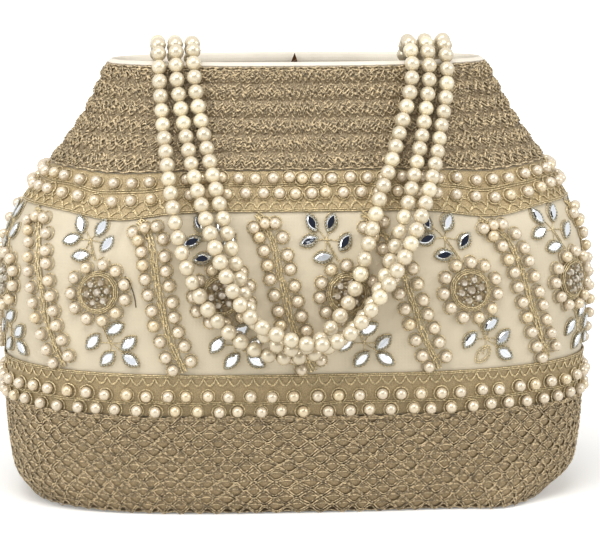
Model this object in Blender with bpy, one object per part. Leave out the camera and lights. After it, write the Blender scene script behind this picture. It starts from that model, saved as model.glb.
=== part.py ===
"""A potli bag: a boxed satin pouch with beaded borders, lace bands, mirror-work
motifs and a handle of three bead strands. Metres, +Z up, front towards -Y,
standing on its base at the origin."""

import math

import bmesh
import bpy
import mathutils
import numpy as np

MM = 0.001
TURN = 2 * math.pi

# Body form: height, half width, half depth and squareness of the section, in millimetres
LEVELS = (
    (0, 112, 50, 3.0),
    (6, 115, 52.5, 3.0),
    (20, 117.8, 54.5, 2.9),
    (45, 120, 57, 2.8),
    (85, 122, 58, 2.7),
    (110, 119.5, 56, 2.6),
    (124, 114.5, 52, 2.5),
    (137, 106, 45.5, 2.45),
    (160, 90, 33, 2.3),
    (182, 78, 25, 2.2),
)
COLUMNS = 48
CLEARANCE = 0.3
# A flat facet between two columns lies this far inside the round it stands for
FACET_SAG = 0.3
# Seam darts draw the cloth in at the front and back corners of the top band
DART_X, DART_Z, DART_DEPTH, DART_SPREAD = 74, 137, 2.2, 14

# Cloth layers, in millimetres
BODY_WALL = 1.2
BODY_TOP = 178.5
LINING_COLUMNS = 32
LINING_WALL = 1.0
BOARD_THICKNESS = 2.0
FLOOR_THICKNESS = 1.2
RIM_HEIGHT = 3.2
EDGE_ROUND = 1.5
# Heights where the cloth's flat facets meet, shared by the body and its lining
WALL_LEVELS = (20, 58, 91, 122, 141, 160, LEVELS[-1][0])

# Base lace band
BASE_BAND_BOTTOM, BASE_BAND_TOP = 0.4, 40.0
BASE_BAND_WALL, BASE_PAD_HEIGHT = 1.1, 1.1
BASE_PAD_ROWS = 5

# Top lace band
# The top band ends this far above the cloth's raw edge, where the rim facing turns over it
TOP_BAND_COVER = 2.5
TOP_BAND_BOTTOM, TOP_BAND_TOP = 140.8, BODY_TOP + TOP_BAND_COVER
TOP_BAND_WALL, TOP_RIDGE_HEIGHT = 1.0, 0.9
TOP_RIDGES = 6

# Beaded borders: two pearl rows on a net ribbon between lace and satin
PEARL_PITCH = 8.45
PEARL_HEIGHT = 3.6
BORDER_WALL = 0.9
# The pearl rows' places are shares of the way from the lace to the satin
LOWER_BORDER = dict(lace_edge=40.6, pearls=(0.129, 0.483), satin_edge=58.4)
UPPER_BORDER = dict(lace_edge=140.3, pearls=(0.153, 0.518), satin_edge=123.3)

# Mirror-work motifs around the satin, and the beaded stems between them
MOTIFS = 12
PATTERN_SHIFT = -0.16
MOTIF_BASE = 0.75
MEDALLION = ((0, 1.6), (7.8, 2.7), (9.7, 1.2), (11.9, 3.6), (14.0, 0.5))
MEDALLION_SIDES = 12
SPRAY_HEIGHT = 1.9
LEAF_NOTCH = 0.30
UPPER_SPRAY = dict(
    centre=(-7.6, 21.6),
    tips=((-15.2, 30.4), (-3.2, 30.6), (4.6, 23.8), (-7.2, 8.6), (-18.4, 19.8)),
)
LOWER_SPRAY = dict(
    centre=(5.6, -19.8),
    tips=((7.4, -8.4), (16.8, -17.8), (18.0, -28.8), (3.2, -30.6), (-4.4, -21.8)),
)
# A stem runs from 30 mm above the middle of the motifs to 30.4 mm below it
STEM_REACH_UP, STEM_REACH_DOWN = 30.0, 30.4
STEM_ROUTE = (
    (13.0, 33.0), (18.3, 26.5), (21.8, 18.0), (23.5, 8.0),
    (26.4, -3.0), (28.4, -12.0), (31.6, -21.0), (37.0, -32.5),
)
STEM_PEARLS = 10
STEM_HALF_WIDTH, STEM_WAIST, STEM_HEIGHT = 5.4, 2.0, 2.7
# The drawn pattern is stretched upright to fill the satin between the borders, less this margin
FIELD_BOTTOM, FIELD_TOP = LOWER_BORDER["satin_edge"], UPPER_BORDER["satin_edge"]
FIELD_MARGIN = 1.85
DRAWN_UP = max(STEM_REACH_UP, *(z for x, z in UPPER_SPRAY["tips"]))
DRAWN_DOWN = max(STEM_REACH_DOWN, *(-z for x, z in LOWER_SPRAY["tips"]))
FIELD_SCALE = (FIELD_TOP - FIELD_BOTTOM - 2 * FIELD_MARGIN) / (DRAWN_UP + DRAWN_DOWN)
MOTIF_Z = FIELD_BOTTOM + FIELD_MARGIN + DRAWN_DOWN * FIELD_SCALE

# Handle of three pearl strands: a strand is as thick as its pearls. Each route runs from the
# left anchor over the rim and down the front, through places across, up and out from the
# body's front, and back over the rim to the right anchor.
STRAND_DIAMETER = 6.0
STRAND_STEP = 11.4
STRAND_ROUTES = (
    (
        (-57, 177, 6.4), (-56.5, 167, 6.6), (-55.7, 155, 7.2), (-54, 136, 8.8), (-51.5, 118, 8.2),
        (-47.5, 103, 8.0), (-41.8, 91, 8.0), (-34.6, 81.3, 8.0), (-25.6, 73.6, 8.0), (-15, 68.4, 7.8),
        (-4.5, 67.4, 7.6), (5, 69.8, 7.6), (14, 75, 8.0), (22.3, 83, 8.0), (28.6, 93, 8.0),
        (33.8, 106, 8.0), (38, 117.5, 8.0), (42.2, 130, 8.6), (45.8, 142, 8.0), (49, 153, 7.2),
        (51.8, 166, 6.6), (53.4, 177, 6.4),
    ),
    (
        (-50, 177, 6.4), (-49, 167, 6.6), (-47, 155, 7.2), (-43.8, 137, 9.2), (-38.6, 118.3, 10.8),
        (-33.4, 103.5, 13.4), (-27.3, 91, 15.4), (-20.4, 83, 16.6), (-10.3, 77.8, 18.6), (1.3, 74.8, 19.8),
        (9.5, 74.8, 19.0), (18.3, 80, 17.0), (26, 89, 15.6), (34, 100.4, 15.2), (40.6, 111.4, 13.8),
        (46.2, 122.8, 11.8), (50.8, 134.2, 10.2), (54.4, 145, 8.4), (57.2, 156, 7.2),
        (59.8, 167, 6.6), (61, 177, 6.4),
    ),
    (
        (-43, 177, 6.4), (-41.9, 167, 6.6), (-39.4, 153.5, 7.2), (-35.6, 134, 8.8), (-30.6, 114, 8.0),
        (-26, 97, 8.0), (-21.6, 83.5, 8.4), (-16, 76, 10.6), (-9, 72.2, 12.8), (-2, 71.6, 13.2),
        (4.4, 75.4, 12.8), (10.6, 81, 10.4), (16.8, 89.4, 8.4), (21.4, 100, 8.0), (25.4, 114, 8.0),
        (30.2, 130.4, 8.8), (35.8, 144, 8.0), (40, 155.5, 7.2), (44, 167, 6.6), (46.2, 177, 6.4),
    ),
)
# Which place each strand takes in the left and the right tab, counted towards +X
STRAND_SLOTS = ((-1, 0), (0, 1), (1, -1))
# Over the rim a strand arches through these places: distance behind its first one, and
# height above the cloth's top edge
STRAND_CREST = ((2.6, 4.7), (7.0, 9.1), (13.2, 11.3), (20.4, 10.6), (27.0, 6.3), (31.6, -0.9))
# A strand comes down aslant, so its end's middle stays this far above its anchor
STRAND_END_GAP = 2.5
STRAND_END_LEAN = 1.0
ANCHOR_Z = BODY_TOP - 18.5
ANCHOR_SIZE = (23.0, 3.0, 12.0)
ANCHOR_LEFT_X, ANCHOR_RIGHT_X = -49.6, 52.6
# Distance between the strands where they are sewn into the tab
STRAND_PITCH = 6.5

# Magnetic snap on the two facings
SNAP_Z, SNAP_RADIUS, SNAP_HEIGHT = BODY_TOP - 13.9, 7.0, 2.0
SNAP_PATCH_RADIUS, SNAP_PATCH_THICKNESS = 12.0, 0.8
# The back patch runs up into a small pointed tab, which shows above the front rim
PATCH_TIP_X, PATCH_TIP_RISE = 2.7, 4.4


def section(z):
    """Half width, half depth and squareness at a height in millimetres."""
    table = np.array(LEVELS, float)
    heights = table[:, 0]
    slopes = np.gradient(table[:, 1:], heights, axis=0)
    i = int(np.clip(np.searchsorted(heights, z) - 1, 0, len(heights) - 2))
    step = heights[i + 1] - heights[i]
    u = min(max((z - heights[i]) / step, 0), 1)
    start, end = table[i, 1:], table[i + 1, 1:]
    return (
        start * (1 + 2 * u) * (1 - u) ** 2
        + slopes[i] * step * u * (1 - u) ** 2
        + end * u**2 * (3 - 2 * u)
        - slopes[i + 1] * step * u**2 * (1 - u)
    )


def ellipse_point(angle, z):
    """A point of the section's outline: angle 0 is the front centre, growing towards +X."""
    a, b, n = section(z)
    s, c = math.sin(angle), -math.cos(angle)
    return a * math.copysign(abs(s) ** (2 / n), s), b * math.copysign(abs(c) ** (2 / n), c)


def turn_table():
    """Share of the way round the belly, for each of many angles, so that turns are even lengths."""
    angles = np.linspace(0, TURN, 2401)
    points = np.array([ellipse_point(angle, MOTIF_Z) for angle in angles])
    steps = np.hypot(*np.diff(points, axis=0).T)
    lengths = np.concatenate([[0], np.cumsum(steps)])
    return angles, lengths / lengths[-1], lengths[-1]


ANGLES, TURNS, GIRTH = turn_table()


def surface(turn, z, out=0.0):
    """The point of the body at a share of the way round and a height, moved out along its level normal."""
    angle = float(np.interp(turn % 1.0, TURNS, ANGLES))
    a, b, n = section(z)
    x, y = ellipse_point(angle, z)
    normal = np.array(
        [
            math.copysign(abs(x / a) ** (n - 1) / a, x),
            math.copysign(abs(y / b) ** (n - 1) / b, y),
        ]
    )
    normal /= np.linalg.norm(normal)
    beside, above = (abs(x) - DART_X) / DART_SPREAD, (z - DART_Z) / DART_SPREAD
    dart = DART_DEPTH * math.exp(-(beside**2) - above**2)
    x, y = (x, y) + normal * (out - dart)
    return (x * MM, y * MM, z * MM)


def ring(z, out, columns=COLUMNS):
    """One level ring. A height or an offset may be a function of the column."""
    height = z if callable(z) else lambda column: z
    offset = out if callable(out) else lambda column: out
    return [surface(i / columns, height(i), offset(i)) for i in range(columns)]


def flat_material(name, colour, roughness, metallic=0.0):
    material = bpy.data.materials.new(name)
    material.use_nodes = True
    shader = material.node_tree.nodes["Principled BSDF"]
    shader.inputs["Base Color"].default_value = (*colour, 1)
    shader.inputs["Roughness"].default_value = roughness
    shader.inputs["Metallic"].default_value = metallic
    material.diffuse_color = (*colour, 1)
    return material


def clear_scene():
    for obj in list(bpy.data.objects):
        bpy.data.objects.remove(obj)
    parts = bpy.data.collections.new("Potli bag")
    bpy.context.scene.collection.children.link(parts)
    return parts


PARTS = clear_scene()
SATIN = flat_material("ivory_satin", (0.72, 0.62, 0.48), 0.45)
CREAM = flat_material("cream_satin", (0.85, 0.78, 0.66), 0.5)
LACE = flat_material("gold_lace", (0.42, 0.30, 0.14), 0.45, 0.4)
GOLD = flat_material("gold_thread", (0.56, 0.42, 0.18), 0.4, 0.5)
MIRROR = flat_material("mirror_work", (0.62, 0.60, 0.56), 0.2, 0.6)
PEARL = flat_material("pearl", (0.86, 0.80, 0.66), 0.25)
BOARD = flat_material("board", (0.5, 0.42, 0.3), 0.8)
STEEL = flat_material("plated_steel", (0.6, 0.55, 0.4), 0.3, 0.9)
BROWN = flat_material("brown_patch", (0.1, 0.045, 0.015), 0.7)


def add_piece(name, mesh, material):
    mesh.materials.append(material)
    obj = bpy.data.objects.new(name, mesh)
    PARTS.objects.link(obj)
    return obj


def piece_from_bmesh(name, bm, material):
    """Closes the faces' directions outwards and makes the object."""
    bmesh.ops.recalc_face_normals(bm, faces=bm.faces)
    mesh = bpy.data.meshes.new(name)
    bm.to_mesh(mesh)
    bm.free()
    mesh.shade_smooth()
    mesh.set_sharp_from_angle(angle=math.radians(35))
    return add_piece(name, mesh, material)


def bridge(bm, first, second):
    """A strip of faces between two rings, also where one has twice the columns of the other.

    Every strip is split along the same slant, so that nested layers stay parallel."""
    count, more = len(first), len(second)
    if count == more:
        low, high = sorted((first, second), key=lambda made: made[0].co.z)
        for i in range(count):
            j = (i + 1) % count
            bm.faces.new((low[i], low[j], high[j]))
            bm.faces.new((low[i], high[j], high[i]))
        return
    if count > more:
        bridge(bm, second, first)
        return
    for i in range(count):
        j = (i + 1) % count
        a, b, c = second[2 * i], second[2 * i + 1], second[(2 * i + 2) % more]
        bm.faces.new((first[i], b, a))
        bm.faces.new((first[i], first[j], b))
        bm.faces.new((first[j], c, b))


def band(name, rings, material):
    """A closed band around the bag: its section is the loop of the rings."""
    bm = bmesh.new()
    made = [[bm.verts.new(point) for point in points] for points in rings]
    for first, second in zip(made, made[1:] + made[:1]):
        bridge(bm, first, second)
    return piece_from_bmesh(name, bm, material)


def cup(name, rings, material):
    """A closed body whose first and last rings are filled."""
    bm = bmesh.new()
    made = [[bm.verts.new(point) for point in points] for points in rings]
    for first, second in zip(made, made[1:]):
        bridge(bm, first, second)
    bm.faces.new(made[0][::-1])
    bm.faces.new(made[-1])
    return piece_from_bmesh(name, bm, material)


# Body, lining and rim
BODY_FLOOR_Z = FLOOR_THICKNESS
BOARD_Z = BODY_FLOOR_Z + CLEARANCE
LINING_FLOOR_Z = BOARD_Z + BOARD_THICKNESS + CLEARANCE
LINING_OUT = -(BODY_WALL + 3 * FACET_SAG)


WALL_HEIGHTS = (*(z for z in WALL_LEVELS if z < BODY_TOP), BODY_TOP)


def make_outer_body():
    foot = [ring(0, -EDGE_ROUND), ring(EDGE_ROUND, 0)]
    outside = [ring(z, 0) for z in WALL_HEIGHTS]
    inside = [ring(z, -BODY_WALL) for z in WALL_HEIGHTS[::-1]]
    floor = [ring(BODY_FLOOR_Z, -BODY_WALL - EDGE_ROUND)]
    cup("outer_body", foot + outside + inside + floor, SATIN)


def make_base_board():
    corners = ring(BOARD_Z, LINING_OUT - 2.5, 32)
    top = ring(BOARD_Z + BOARD_THICKNESS, LINING_OUT - 2.5, 32)
    cup("base_board", [corners, top], BOARD)


def make_lining():
    def rows(out, heights):
        return [ring(z, out, LINING_COLUMNS) for z in heights]

    outside = rows(LINING_OUT, WALL_HEIGHTS)
    inside = rows(LINING_OUT - LINING_WALL, WALL_HEIGHTS[::-1])
    foot = rows(LINING_OUT - 2 * EDGE_ROUND, (LINING_FLOOR_Z,))
    floor = rows(LINING_OUT - LINING_WALL - 2 * EDGE_ROUND, (LINING_FLOOR_Z + LINING_WALL,))
    cup("lining", foot + outside + inside + floor, CREAM)


def make_rim_facing():
    bottom, top = BODY_TOP + CLEARANCE, BODY_TOP + CLEARANCE + RIM_HEIGHT
    inner = LINING_OUT - LINING_WALL
    band(
        "rim_facing",
        [ring(bottom, 0), ring(top, inner / 2), ring(bottom, inner)],
        CREAM,
    )


# Lace bands
BAND_INNER = CLEARANCE + 0.15


def band_back(bottom, top):
    """The rings of a band's back from its top edge down, one at each height where the walls bend."""
    bends = [z for z in WALL_LEVELS if bottom + EDGE_ROUND < z < top]
    return [ring(z, BAND_INNER) for z in (top, *bends[::-1])]


def make_base_lace_band():
    face = BAND_INNER + BASE_BAND_WALL
    step = (BASE_BAND_TOP - BASE_BAND_BOTTOM - 2.4) / (2 * BASE_PAD_ROWS)
    first = BASE_BAND_BOTTOM + 0.4
    rings = [ring(BASE_BAND_BOTTOM, BAND_INNER)]
    for row in range(2 * BASE_PAD_ROWS + 1):
        pads = lambda column, row=row: face + BASE_PAD_HEIGHT * ((column + row) % 2)
        rings.append(ring(first + row * step, pads))
    rings.append(ring(BASE_BAND_TOP, face + BASE_PAD_HEIGHT))
    rings += band_back(BASE_BAND_BOTTOM, BASE_BAND_TOP)
    band("base_lace_band", rings, LACE)


def make_top_lace_band():
    face = BAND_INNER + TOP_BAND_WALL
    step = (TOP_BAND_TOP - TOP_BAND_BOTTOM) / TOP_RIDGES
    rings = [ring(TOP_BAND_BOTTOM, BAND_INNER)]
    for row in range(TOP_RIDGES):
        start = TOP_BAND_BOTTOM + row * step
        rings.append(ring(start + 0.05 * step, face))
        rings.append(ring(start + 0.55 * step, face + TOP_RIDGE_HEIGHT))
    rings.append(ring(TOP_BAND_TOP, face))
    rings += band_back(TOP_BAND_BOTTOM, TOP_BAND_TOP)
    band("top_lace_band", rings, LACE)


def make_border(name, levels):
    """Two rows of pearls, set off by half a space, sewn on one net ribbon."""
    pearls_around = round(GIRTH / PEARL_PITCH)
    inner = BAND_INNER + FACET_SAG / 2
    face = inner + BORDER_WALL

    def pearls(start):
        return lambda column: inner + (BORDER_WALL if (column + start) % 2 else PEARL_HEIGHT)

    height = levels["satin_edge"] - levels["lace_edge"]
    first, second = (levels["lace_edge"] + share * height for share in levels["pearls"])
    rings = [
        ring(levels["lace_edge"], inner, pearls_around),
        ring(first, pearls(0), 2 * pearls_around),
        ring(second, pearls(1), 2 * pearls_around),
        ring(levels["satin_edge"], face, pearls_around),
        ring(levels["satin_edge"], inner, pearls_around),
    ]
    band(name, rings, GOLD)


# Motifs and stems
def on_satin(motif, across, up, out):
    """A point of the pattern: millimetres across and up from the middle of a motif, as drawn."""
    turn = (motif + 0.5 + PATTERN_SHIFT) / MOTIFS + across / GIRTH
    return surface(turn, MOTIF_Z + up * FIELD_SCALE, out)


def circle(motif, radius, out, sides, lift=0.0):
    angles = [TURN * (i + lift) / sides for i in range(sides)]
    return [on_satin(motif, radius * math.sin(a), radius * math.cos(a), out) for a in angles]


def lens(bm, rings, top, bottom):
    """A closed low form: rings from a top point out to the edge, closed below to one point."""
    apex = bm.verts.new(top)
    base = bm.verts.new(bottom)
    made = [[bm.verts.new(p) for p in points] for points in rings]
    for i in range(len(made[0])):
        bm.faces.new((apex, made[0][i], made[0][(i + 1) % len(made[0])]))
    for first, second in zip(made, made[1:]):
        bridge(bm, first, second)
    last = made[-1]
    for i in range(len(last)):
        bm.faces.new((base, last[(i + 1) % len(last)], last[i]))


def medallion_bmesh(motif):
    bm = bmesh.new()
    (_, top), *rows = MEDALLION
    lifts = [0] * (len(rows) - 1) + [0.5]
    rings = [
        circle(motif, radius, MOTIF_BASE + height, MEDALLION_SIDES, lift)
        for (radius, height), lift in zip(rows, lifts)
    ]
    lens(bm, rings, on_satin(motif, 0, 0, MOTIF_BASE + top), on_satin(motif, 0, 0, MOTIF_BASE))
    return bm


def spray_bmesh(motif, spray):
    """Five mirror leaves around one point: an outline of tips and notches, raised along each leaf."""
    bm = bmesh.new()
    cx, cz = spray["centre"]
    tips = spray["tips"]
    edge_out, crest_out = MOTIF_BASE + 0.5, MOTIF_BASE + SPRAY_HEIGHT
    centre = bm.verts.new(on_satin(motif, cx, cz, MOTIF_BASE + 1.0))
    under = bm.verts.new(on_satin(motif, cx, cz, MOTIF_BASE))

    def notch(i):
        (ax, az), (bx, bz) = tips[i - 1], tips[i]
        mx, mz = (ax + bx) / 2 - cx, (az + bz) / 2 - cz
        return bm.verts.new(on_satin(motif, cx + LEAF_NOTCH * mx, cz + LEAF_NOTCH * mz, edge_out))

    notches = [notch(i) for i in range(len(tips))]
    for i, (tx, tz) in enumerate(tips):
        left, right = notches[i], notches[(i + 1) % len(tips)]
        tip = bm.verts.new(on_satin(motif, tx, tz, edge_out))
        crest_at = (cx + 1.3 * tx) / 2.3, (cz + 1.3 * tz) / 2.3
        crest = bm.verts.new(on_satin(motif, *crest_at, crest_out))
        for a, b in ((centre, left), (left, tip), (tip, right), (right, centre)):
            bm.faces.new((a, b, crest))
        bm.faces.new((under, tip, left))
        bm.faces.new((under, right, tip))
    return bm


def make_motif(motif):
    """A medallion with a spray above and below, joined where the lowest leaves reach under its edge."""
    sprays = [spray_bmesh(motif, spray) for spray in (UPPER_SPRAY, LOWER_SPRAY)]
    bodies = [medallion_bmesh(motif), *sprays]
    name = f"motif_{motif + 1:02d}"
    pieces = [piece_from_bmesh(f"{name}_{i}", bm, MIRROR) for i, bm in enumerate(bodies)]
    whole, *sprays = pieces
    for spray in sprays:
        union = whole.modifiers.new("spray", "BOOLEAN")
        union.operation = "UNION"
        union.object = spray
    bpy.context.view_layer.update()
    graph = bpy.context.evaluated_depsgraph_get()
    mesh = bpy.data.meshes.new_from_object(whole.evaluated_get(graph))
    for piece in pieces:
        bpy.data.objects.remove(piece)
    mesh.name = name
    mesh.materials.clear()
    return add_piece(name, mesh, MIRROR)


def stem_points():
    """Even steps along the stem's curve, from the upper border to the lower one."""
    route = np.array(STEM_ROUTE)
    steps = np.hypot(*np.diff(route, axis=0).T)
    lengths = np.concatenate([[0], np.cumsum(steps)])
    ends = np.interp([-STEM_REACH_UP, STEM_REACH_DOWN], -route[:, 1], lengths)
    along = np.linspace(*ends, 2 * STEM_PEARLS + 1)
    return np.stack([np.interp(along, lengths, route[:, k]) for k in (0, 1)], 1)


def make_stem(motif):
    """A double cord with a pearl on each side at every other step, as one low ribbon."""
    points = stem_points()
    along = np.gradient(points, axis=0)
    along /= np.linalg.norm(along, axis=1)[:, None]
    bm = bmesh.new()
    rows = []
    for i, ((x, z), (dx, dz)) in enumerate(zip(points, along)):
        half = STEM_HALF_WIDTH if i % 2 else STEM_WAIST
        left = on_satin(motif, x + dz * half, max(z - dx * half, -STEM_REACH_DOWN), MOTIF_BASE)
        right = on_satin(motif, x - dz * half, min(z + dx * half, STEM_REACH_UP), MOTIF_BASE)
        top = on_satin(motif, x, z, MOTIF_BASE + STEM_HEIGHT)
        rows.append([bm.verts.new(p) for p in (left, top, right)])
    for first, second in zip(rows, rows[1:]):
        bridge(bm, first, second)
    bm.faces.new(rows[0][::-1])
    bm.faces.new(rows[-1])
    return piece_from_bmesh(f"stem_{motif + 1:02d}", bm, PEARL)


# Snap and strand anchors
def disc(name, radius, thickness, place, lean, material, tip=None, sides=16):
    """A flat round piece facing along Y. Its topmost corner may be drawn out into a pointed tab."""
    bm = bmesh.new()
    bmesh.ops.create_cone(
        bm, cap_ends=True, segments=sides, radius1=radius * MM, radius2=radius * MM, depth=thickness * MM
    )
    upright = mathutils.Matrix.Rotation(math.radians(90), 3, "X")
    bmesh.ops.rotate(bm, verts=bm.verts, matrix=upright)
    if tip:
        highest = max(vertex.co.z for vertex in bm.verts) - 1e-5
        for vertex in [vertex for vertex in bm.verts if vertex.co.z > highest]:
            vertex.co += mathutils.Vector((tip[0] * MM, 0, tip[1] * MM))
    mesh = bpy.data.meshes.new(name)
    bm.to_mesh(mesh)
    bm.free()
    obj = add_piece(name, mesh, material)
    obj.rotation_euler = (lean, 0, 0)
    obj.location = [c * MM for c in place]
    return obj


def lining_inside(x, z):
    """How far the lining's inner face is from the middle plane at a place across."""
    a, b, n = section(z)
    inner = -(LINING_OUT - LINING_WALL)
    a, b = a - inner, b - inner
    return b * (1 - abs(x / a) ** n) ** (1 / n)


def facing_seat(x, z, half_width, half_height):
    """Where a flat piece rests against a facing: its distance from the middle plane, and its slope."""
    low, high = lining_inside(x, z - half_height), lining_inside(x, z + half_height)
    slope = (high - low) / (2 * half_height)
    seat = min(
        lining_inside(x + across, z + up) - slope * up
        for across in (-half_width, 0, half_width)
        for up in np.linspace(-half_height, half_height, 9)
    )
    return seat - FACET_SAG - CLEARANCE, slope


def make_snap():
    """A socket and a stud, each on a round patch that lies against the slope of its facing."""
    reach = SNAP_PATCH_RADIUS + PATCH_TIP_RISE
    seat, slope = facing_seat(0, SNAP_Z, SNAP_PATCH_RADIUS, reach)
    flat = math.hypot(1, slope)
    tip = (PATCH_TIP_X, PATCH_TIP_RISE)
    for side, patch, half in ((-1, "snap_patch_front", "snap_socket"), (1, "snap_patch_back", "snap_stud")):
        lean = -side * math.atan(slope)
        middle = seat - SNAP_PATCH_THICKNESS / 2 * flat
        place = (0, side * middle, SNAP_Z)
        disc(patch, SNAP_PATCH_RADIUS, SNAP_PATCH_THICKNESS, place, lean, BROWN, tip if side > 0 else None)
        middle -= (SNAP_PATCH_THICKNESS / 2 + CLEARANCE + SNAP_HEIGHT / 2) * flat
        disc(half, SNAP_RADIUS, SNAP_HEIGHT, (0, side * middle, SNAP_Z), lean, STEEL)


def make_anchor(name, x):
    """A folded satin tab against the back facing, which holds the ends of the three strands."""
    width, thickness, height = (size * MM for size in ANCHOR_SIZE)
    seat, slope = facing_seat(x, ANCHOR_Z, ANCHOR_SIZE[0] / 2, ANCHOR_SIZE[2] / 2)
    bm = bmesh.new()
    bmesh.ops.create_cube(bm, size=1.0)
    for vertex in bm.verts:
        vertex.co = (vertex.co.x * width, vertex.co.y * thickness, vertex.co.z * height)
    mesh = bpy.data.meshes.new(name)
    bm.to_mesh(mesh)
    bm.free()
    obj = add_piece(name, mesh, CREAM)
    obj.rotation_euler = (-math.atan(slope), 0, 0)
    obj.location = (x * MM, (seat - ANCHOR_SIZE[1] / 2 * math.hypot(1, slope)) * MM, ANCHOR_Z * MM)
    return obj


def smooth_curve(points, step):
    """Even steps, of about this length, along a smooth curve through the points."""
    points = np.array(points, float)
    padded = np.concatenate([[2 * points[0] - points[1]], points, [2 * points[-1] - points[-2]]])
    fine = []
    for before, start, end, after in zip(padded, padded[1:], padded[2:], padded[3:]):
        for u in np.linspace(0, 1, 24, endpoint=False):
            fine.append(
                0.5
                * (
                    2 * start
                    + (end - before) * u
                    + (2 * before - 5 * start + 4 * end - after) * u**2
                    + (3 * start - before - 3 * end + after) * u**3
                )
            )
    fine = np.array(fine + [points[-1]])
    steps = np.linalg.norm(np.diff(fine, axis=0), axis=1)
    lengths = np.concatenate([[0], np.cumsum(steps)])
    along = np.linspace(0, lengths[-1], round(lengths[-1] / step) + 1)
    return np.stack([np.interp(along, lengths, fine[:, k]) for k in range(3)], 1)


def front_depth(x, z):
    """How far the body's front is from the middle plane at a place across."""
    a, b, n = section(z)
    return b * max(0.0, 1 - abs(x / a) ** n) ** (1 / n)


def strand_route(places, anchors, slots):
    """The strand's places in space, from its slot in one anchor to its slot in the other."""
    front = [(x, -front_depth(x, z) - out, z) for x, z, out in places]
    ends = []
    rise = ANCHOR_SIZE[2] / 2 + STRAND_END_GAP
    for (x, y, _), anchor, slot in zip((front[0], front[-1]), anchors, slots):
        over = [(x, y + back, BODY_TOP + up) for back, up in STRAND_CREST]
        end_x = anchor.location.x / MM + slot * STRAND_PITCH
        end_y = anchor.location.y / MM - math.tan(anchor.rotation_euler.x) * rise
        ends.append(over + [(end_x, end_y - STRAND_END_LEAN, ANCHOR_Z + rise)])
    return ends[0][::-1] + front + ends[1]


def make_strand(number, places, anchors, slots):
    curve = bpy.data.curves.new(f"handle_strand_{number}", "CURVE")
    curve.dimensions = "3D"
    curve.bevel_depth = STRAND_DIAMETER / 2 * MM
    curve.bevel_resolution = 2
    curve.use_fill_caps = True
    points = smooth_curve(strand_route(places, anchors, slots), STRAND_STEP)
    spline = curve.splines.new("POLY")
    spline.points.add(len(points) - 1)
    for point, place in zip(spline.points, points):
        point.co = (*(place * MM), 1)
    return add_piece(f"handle_strand_{number}", curve, PEARL)


def main():
    make_outer_body()
    make_base_board()
    make_lining()
    make_rim_facing()
    make_base_lace_band()
    make_top_lace_band()
    make_border("lower_border", LOWER_BORDER)
    make_border("upper_border", UPPER_BORDER)
    for motif in range(MOTIFS):
        make_motif(motif)
        make_stem(motif)
    make_snap()
    anchors = (
        make_anchor("handle_anchor_left", ANCHOR_LEFT_X),
        make_anchor("handle_anchor_right", ANCHOR_RIGHT_X),
    )
    for number, (places, slots) in enumerate(zip(STRAND_ROUTES, STRAND_SLOTS), 1):
        make_strand(number, places, anchors, slots)


main()
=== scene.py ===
"""A potli bag: a satin pouch with beaded borders, lace bands, mirror-work sprigs and a
handle of three pearl strands. Pieces are made flat, in millimetres, as they are sewn on
flat cloth, and are then wrapped round the bag."""

import math

import bmesh
import bpy
import numpy as np
from bpy.props import FloatProperty, FloatVectorProperty, IntProperty, PointerProperty
from mathutils import Matrix, Vector


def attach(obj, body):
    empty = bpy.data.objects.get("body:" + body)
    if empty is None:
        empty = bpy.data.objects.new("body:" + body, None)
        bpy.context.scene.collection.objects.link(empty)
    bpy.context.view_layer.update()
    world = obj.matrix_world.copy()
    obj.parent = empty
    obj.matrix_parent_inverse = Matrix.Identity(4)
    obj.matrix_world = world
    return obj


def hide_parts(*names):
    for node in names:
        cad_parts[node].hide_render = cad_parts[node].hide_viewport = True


bl_info = {
    "name": "Potli bag",
    "version": (1, 0, 0),
    "blender": (4, 5, 0),
    "location": "3D View > Sidebar > Potli bag",
    "description": "Dresses the packed potli bag with cloth, lace, beads and mirrors",
    "category": "Object",
}

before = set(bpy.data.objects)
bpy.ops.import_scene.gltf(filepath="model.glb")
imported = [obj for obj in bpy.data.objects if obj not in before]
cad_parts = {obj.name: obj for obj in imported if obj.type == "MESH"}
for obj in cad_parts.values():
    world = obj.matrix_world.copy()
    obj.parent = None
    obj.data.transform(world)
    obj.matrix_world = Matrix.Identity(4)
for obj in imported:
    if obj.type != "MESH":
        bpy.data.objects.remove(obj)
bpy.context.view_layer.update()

MM = 0.001
TURN = 2 * math.pi

# Body form, as in the part's source: height, half width, half depth and squareness, in mm
LEVELS = np.array(
    (
        (0, 112, 50, 3.0),
        (6, 115, 52.5, 3.0),
        (20, 117.8, 54.5, 2.9),
        (45, 120, 57, 2.8),
        (85, 122, 58, 2.7),
        (110, 119.5, 56, 2.6),
        (124, 114.5, 52, 2.5),
        (137, 106, 45.5, 2.45),
        (160, 90, 33, 2.3),
        (182, 78, 25, 2.2),
    )
)
SLOPES = np.gradient(LEVELS[:, 1:], LEVELS[:, 0], axis=0)
DART_X, DART_Z, DART_DEPTH, DART_SPREAD = 74, 137, 2.2, 14
# The cloth sags this far below the darts, at this place, over this width and round this height
SAG_DEPTH, SAG_X, SAG_SPREAD, SAG_Z, SAG_HEIGHT = 4.2, 76, 19, 129, 14
# One crease below the left dart: its place, slant and width, and the heights where it fades
CREASE_X, CREASE_Z, CREASE_SLANT, CREASE_WIDTH = -82, 110, 0.06, 1.9
CREASE_BOTTOM, CREASE_FADE_IN, CREASE_TOP, CREASE_FADE_OUT = 98, 9, 126, 5
# Shallow swells of the satin: depth, waves round the bag, mm of height to a radian, and start
SWELLS = ((0.45, 7, 19, 0), (0.3, 13, -11, 1))
SWELL_REACH = 34
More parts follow.
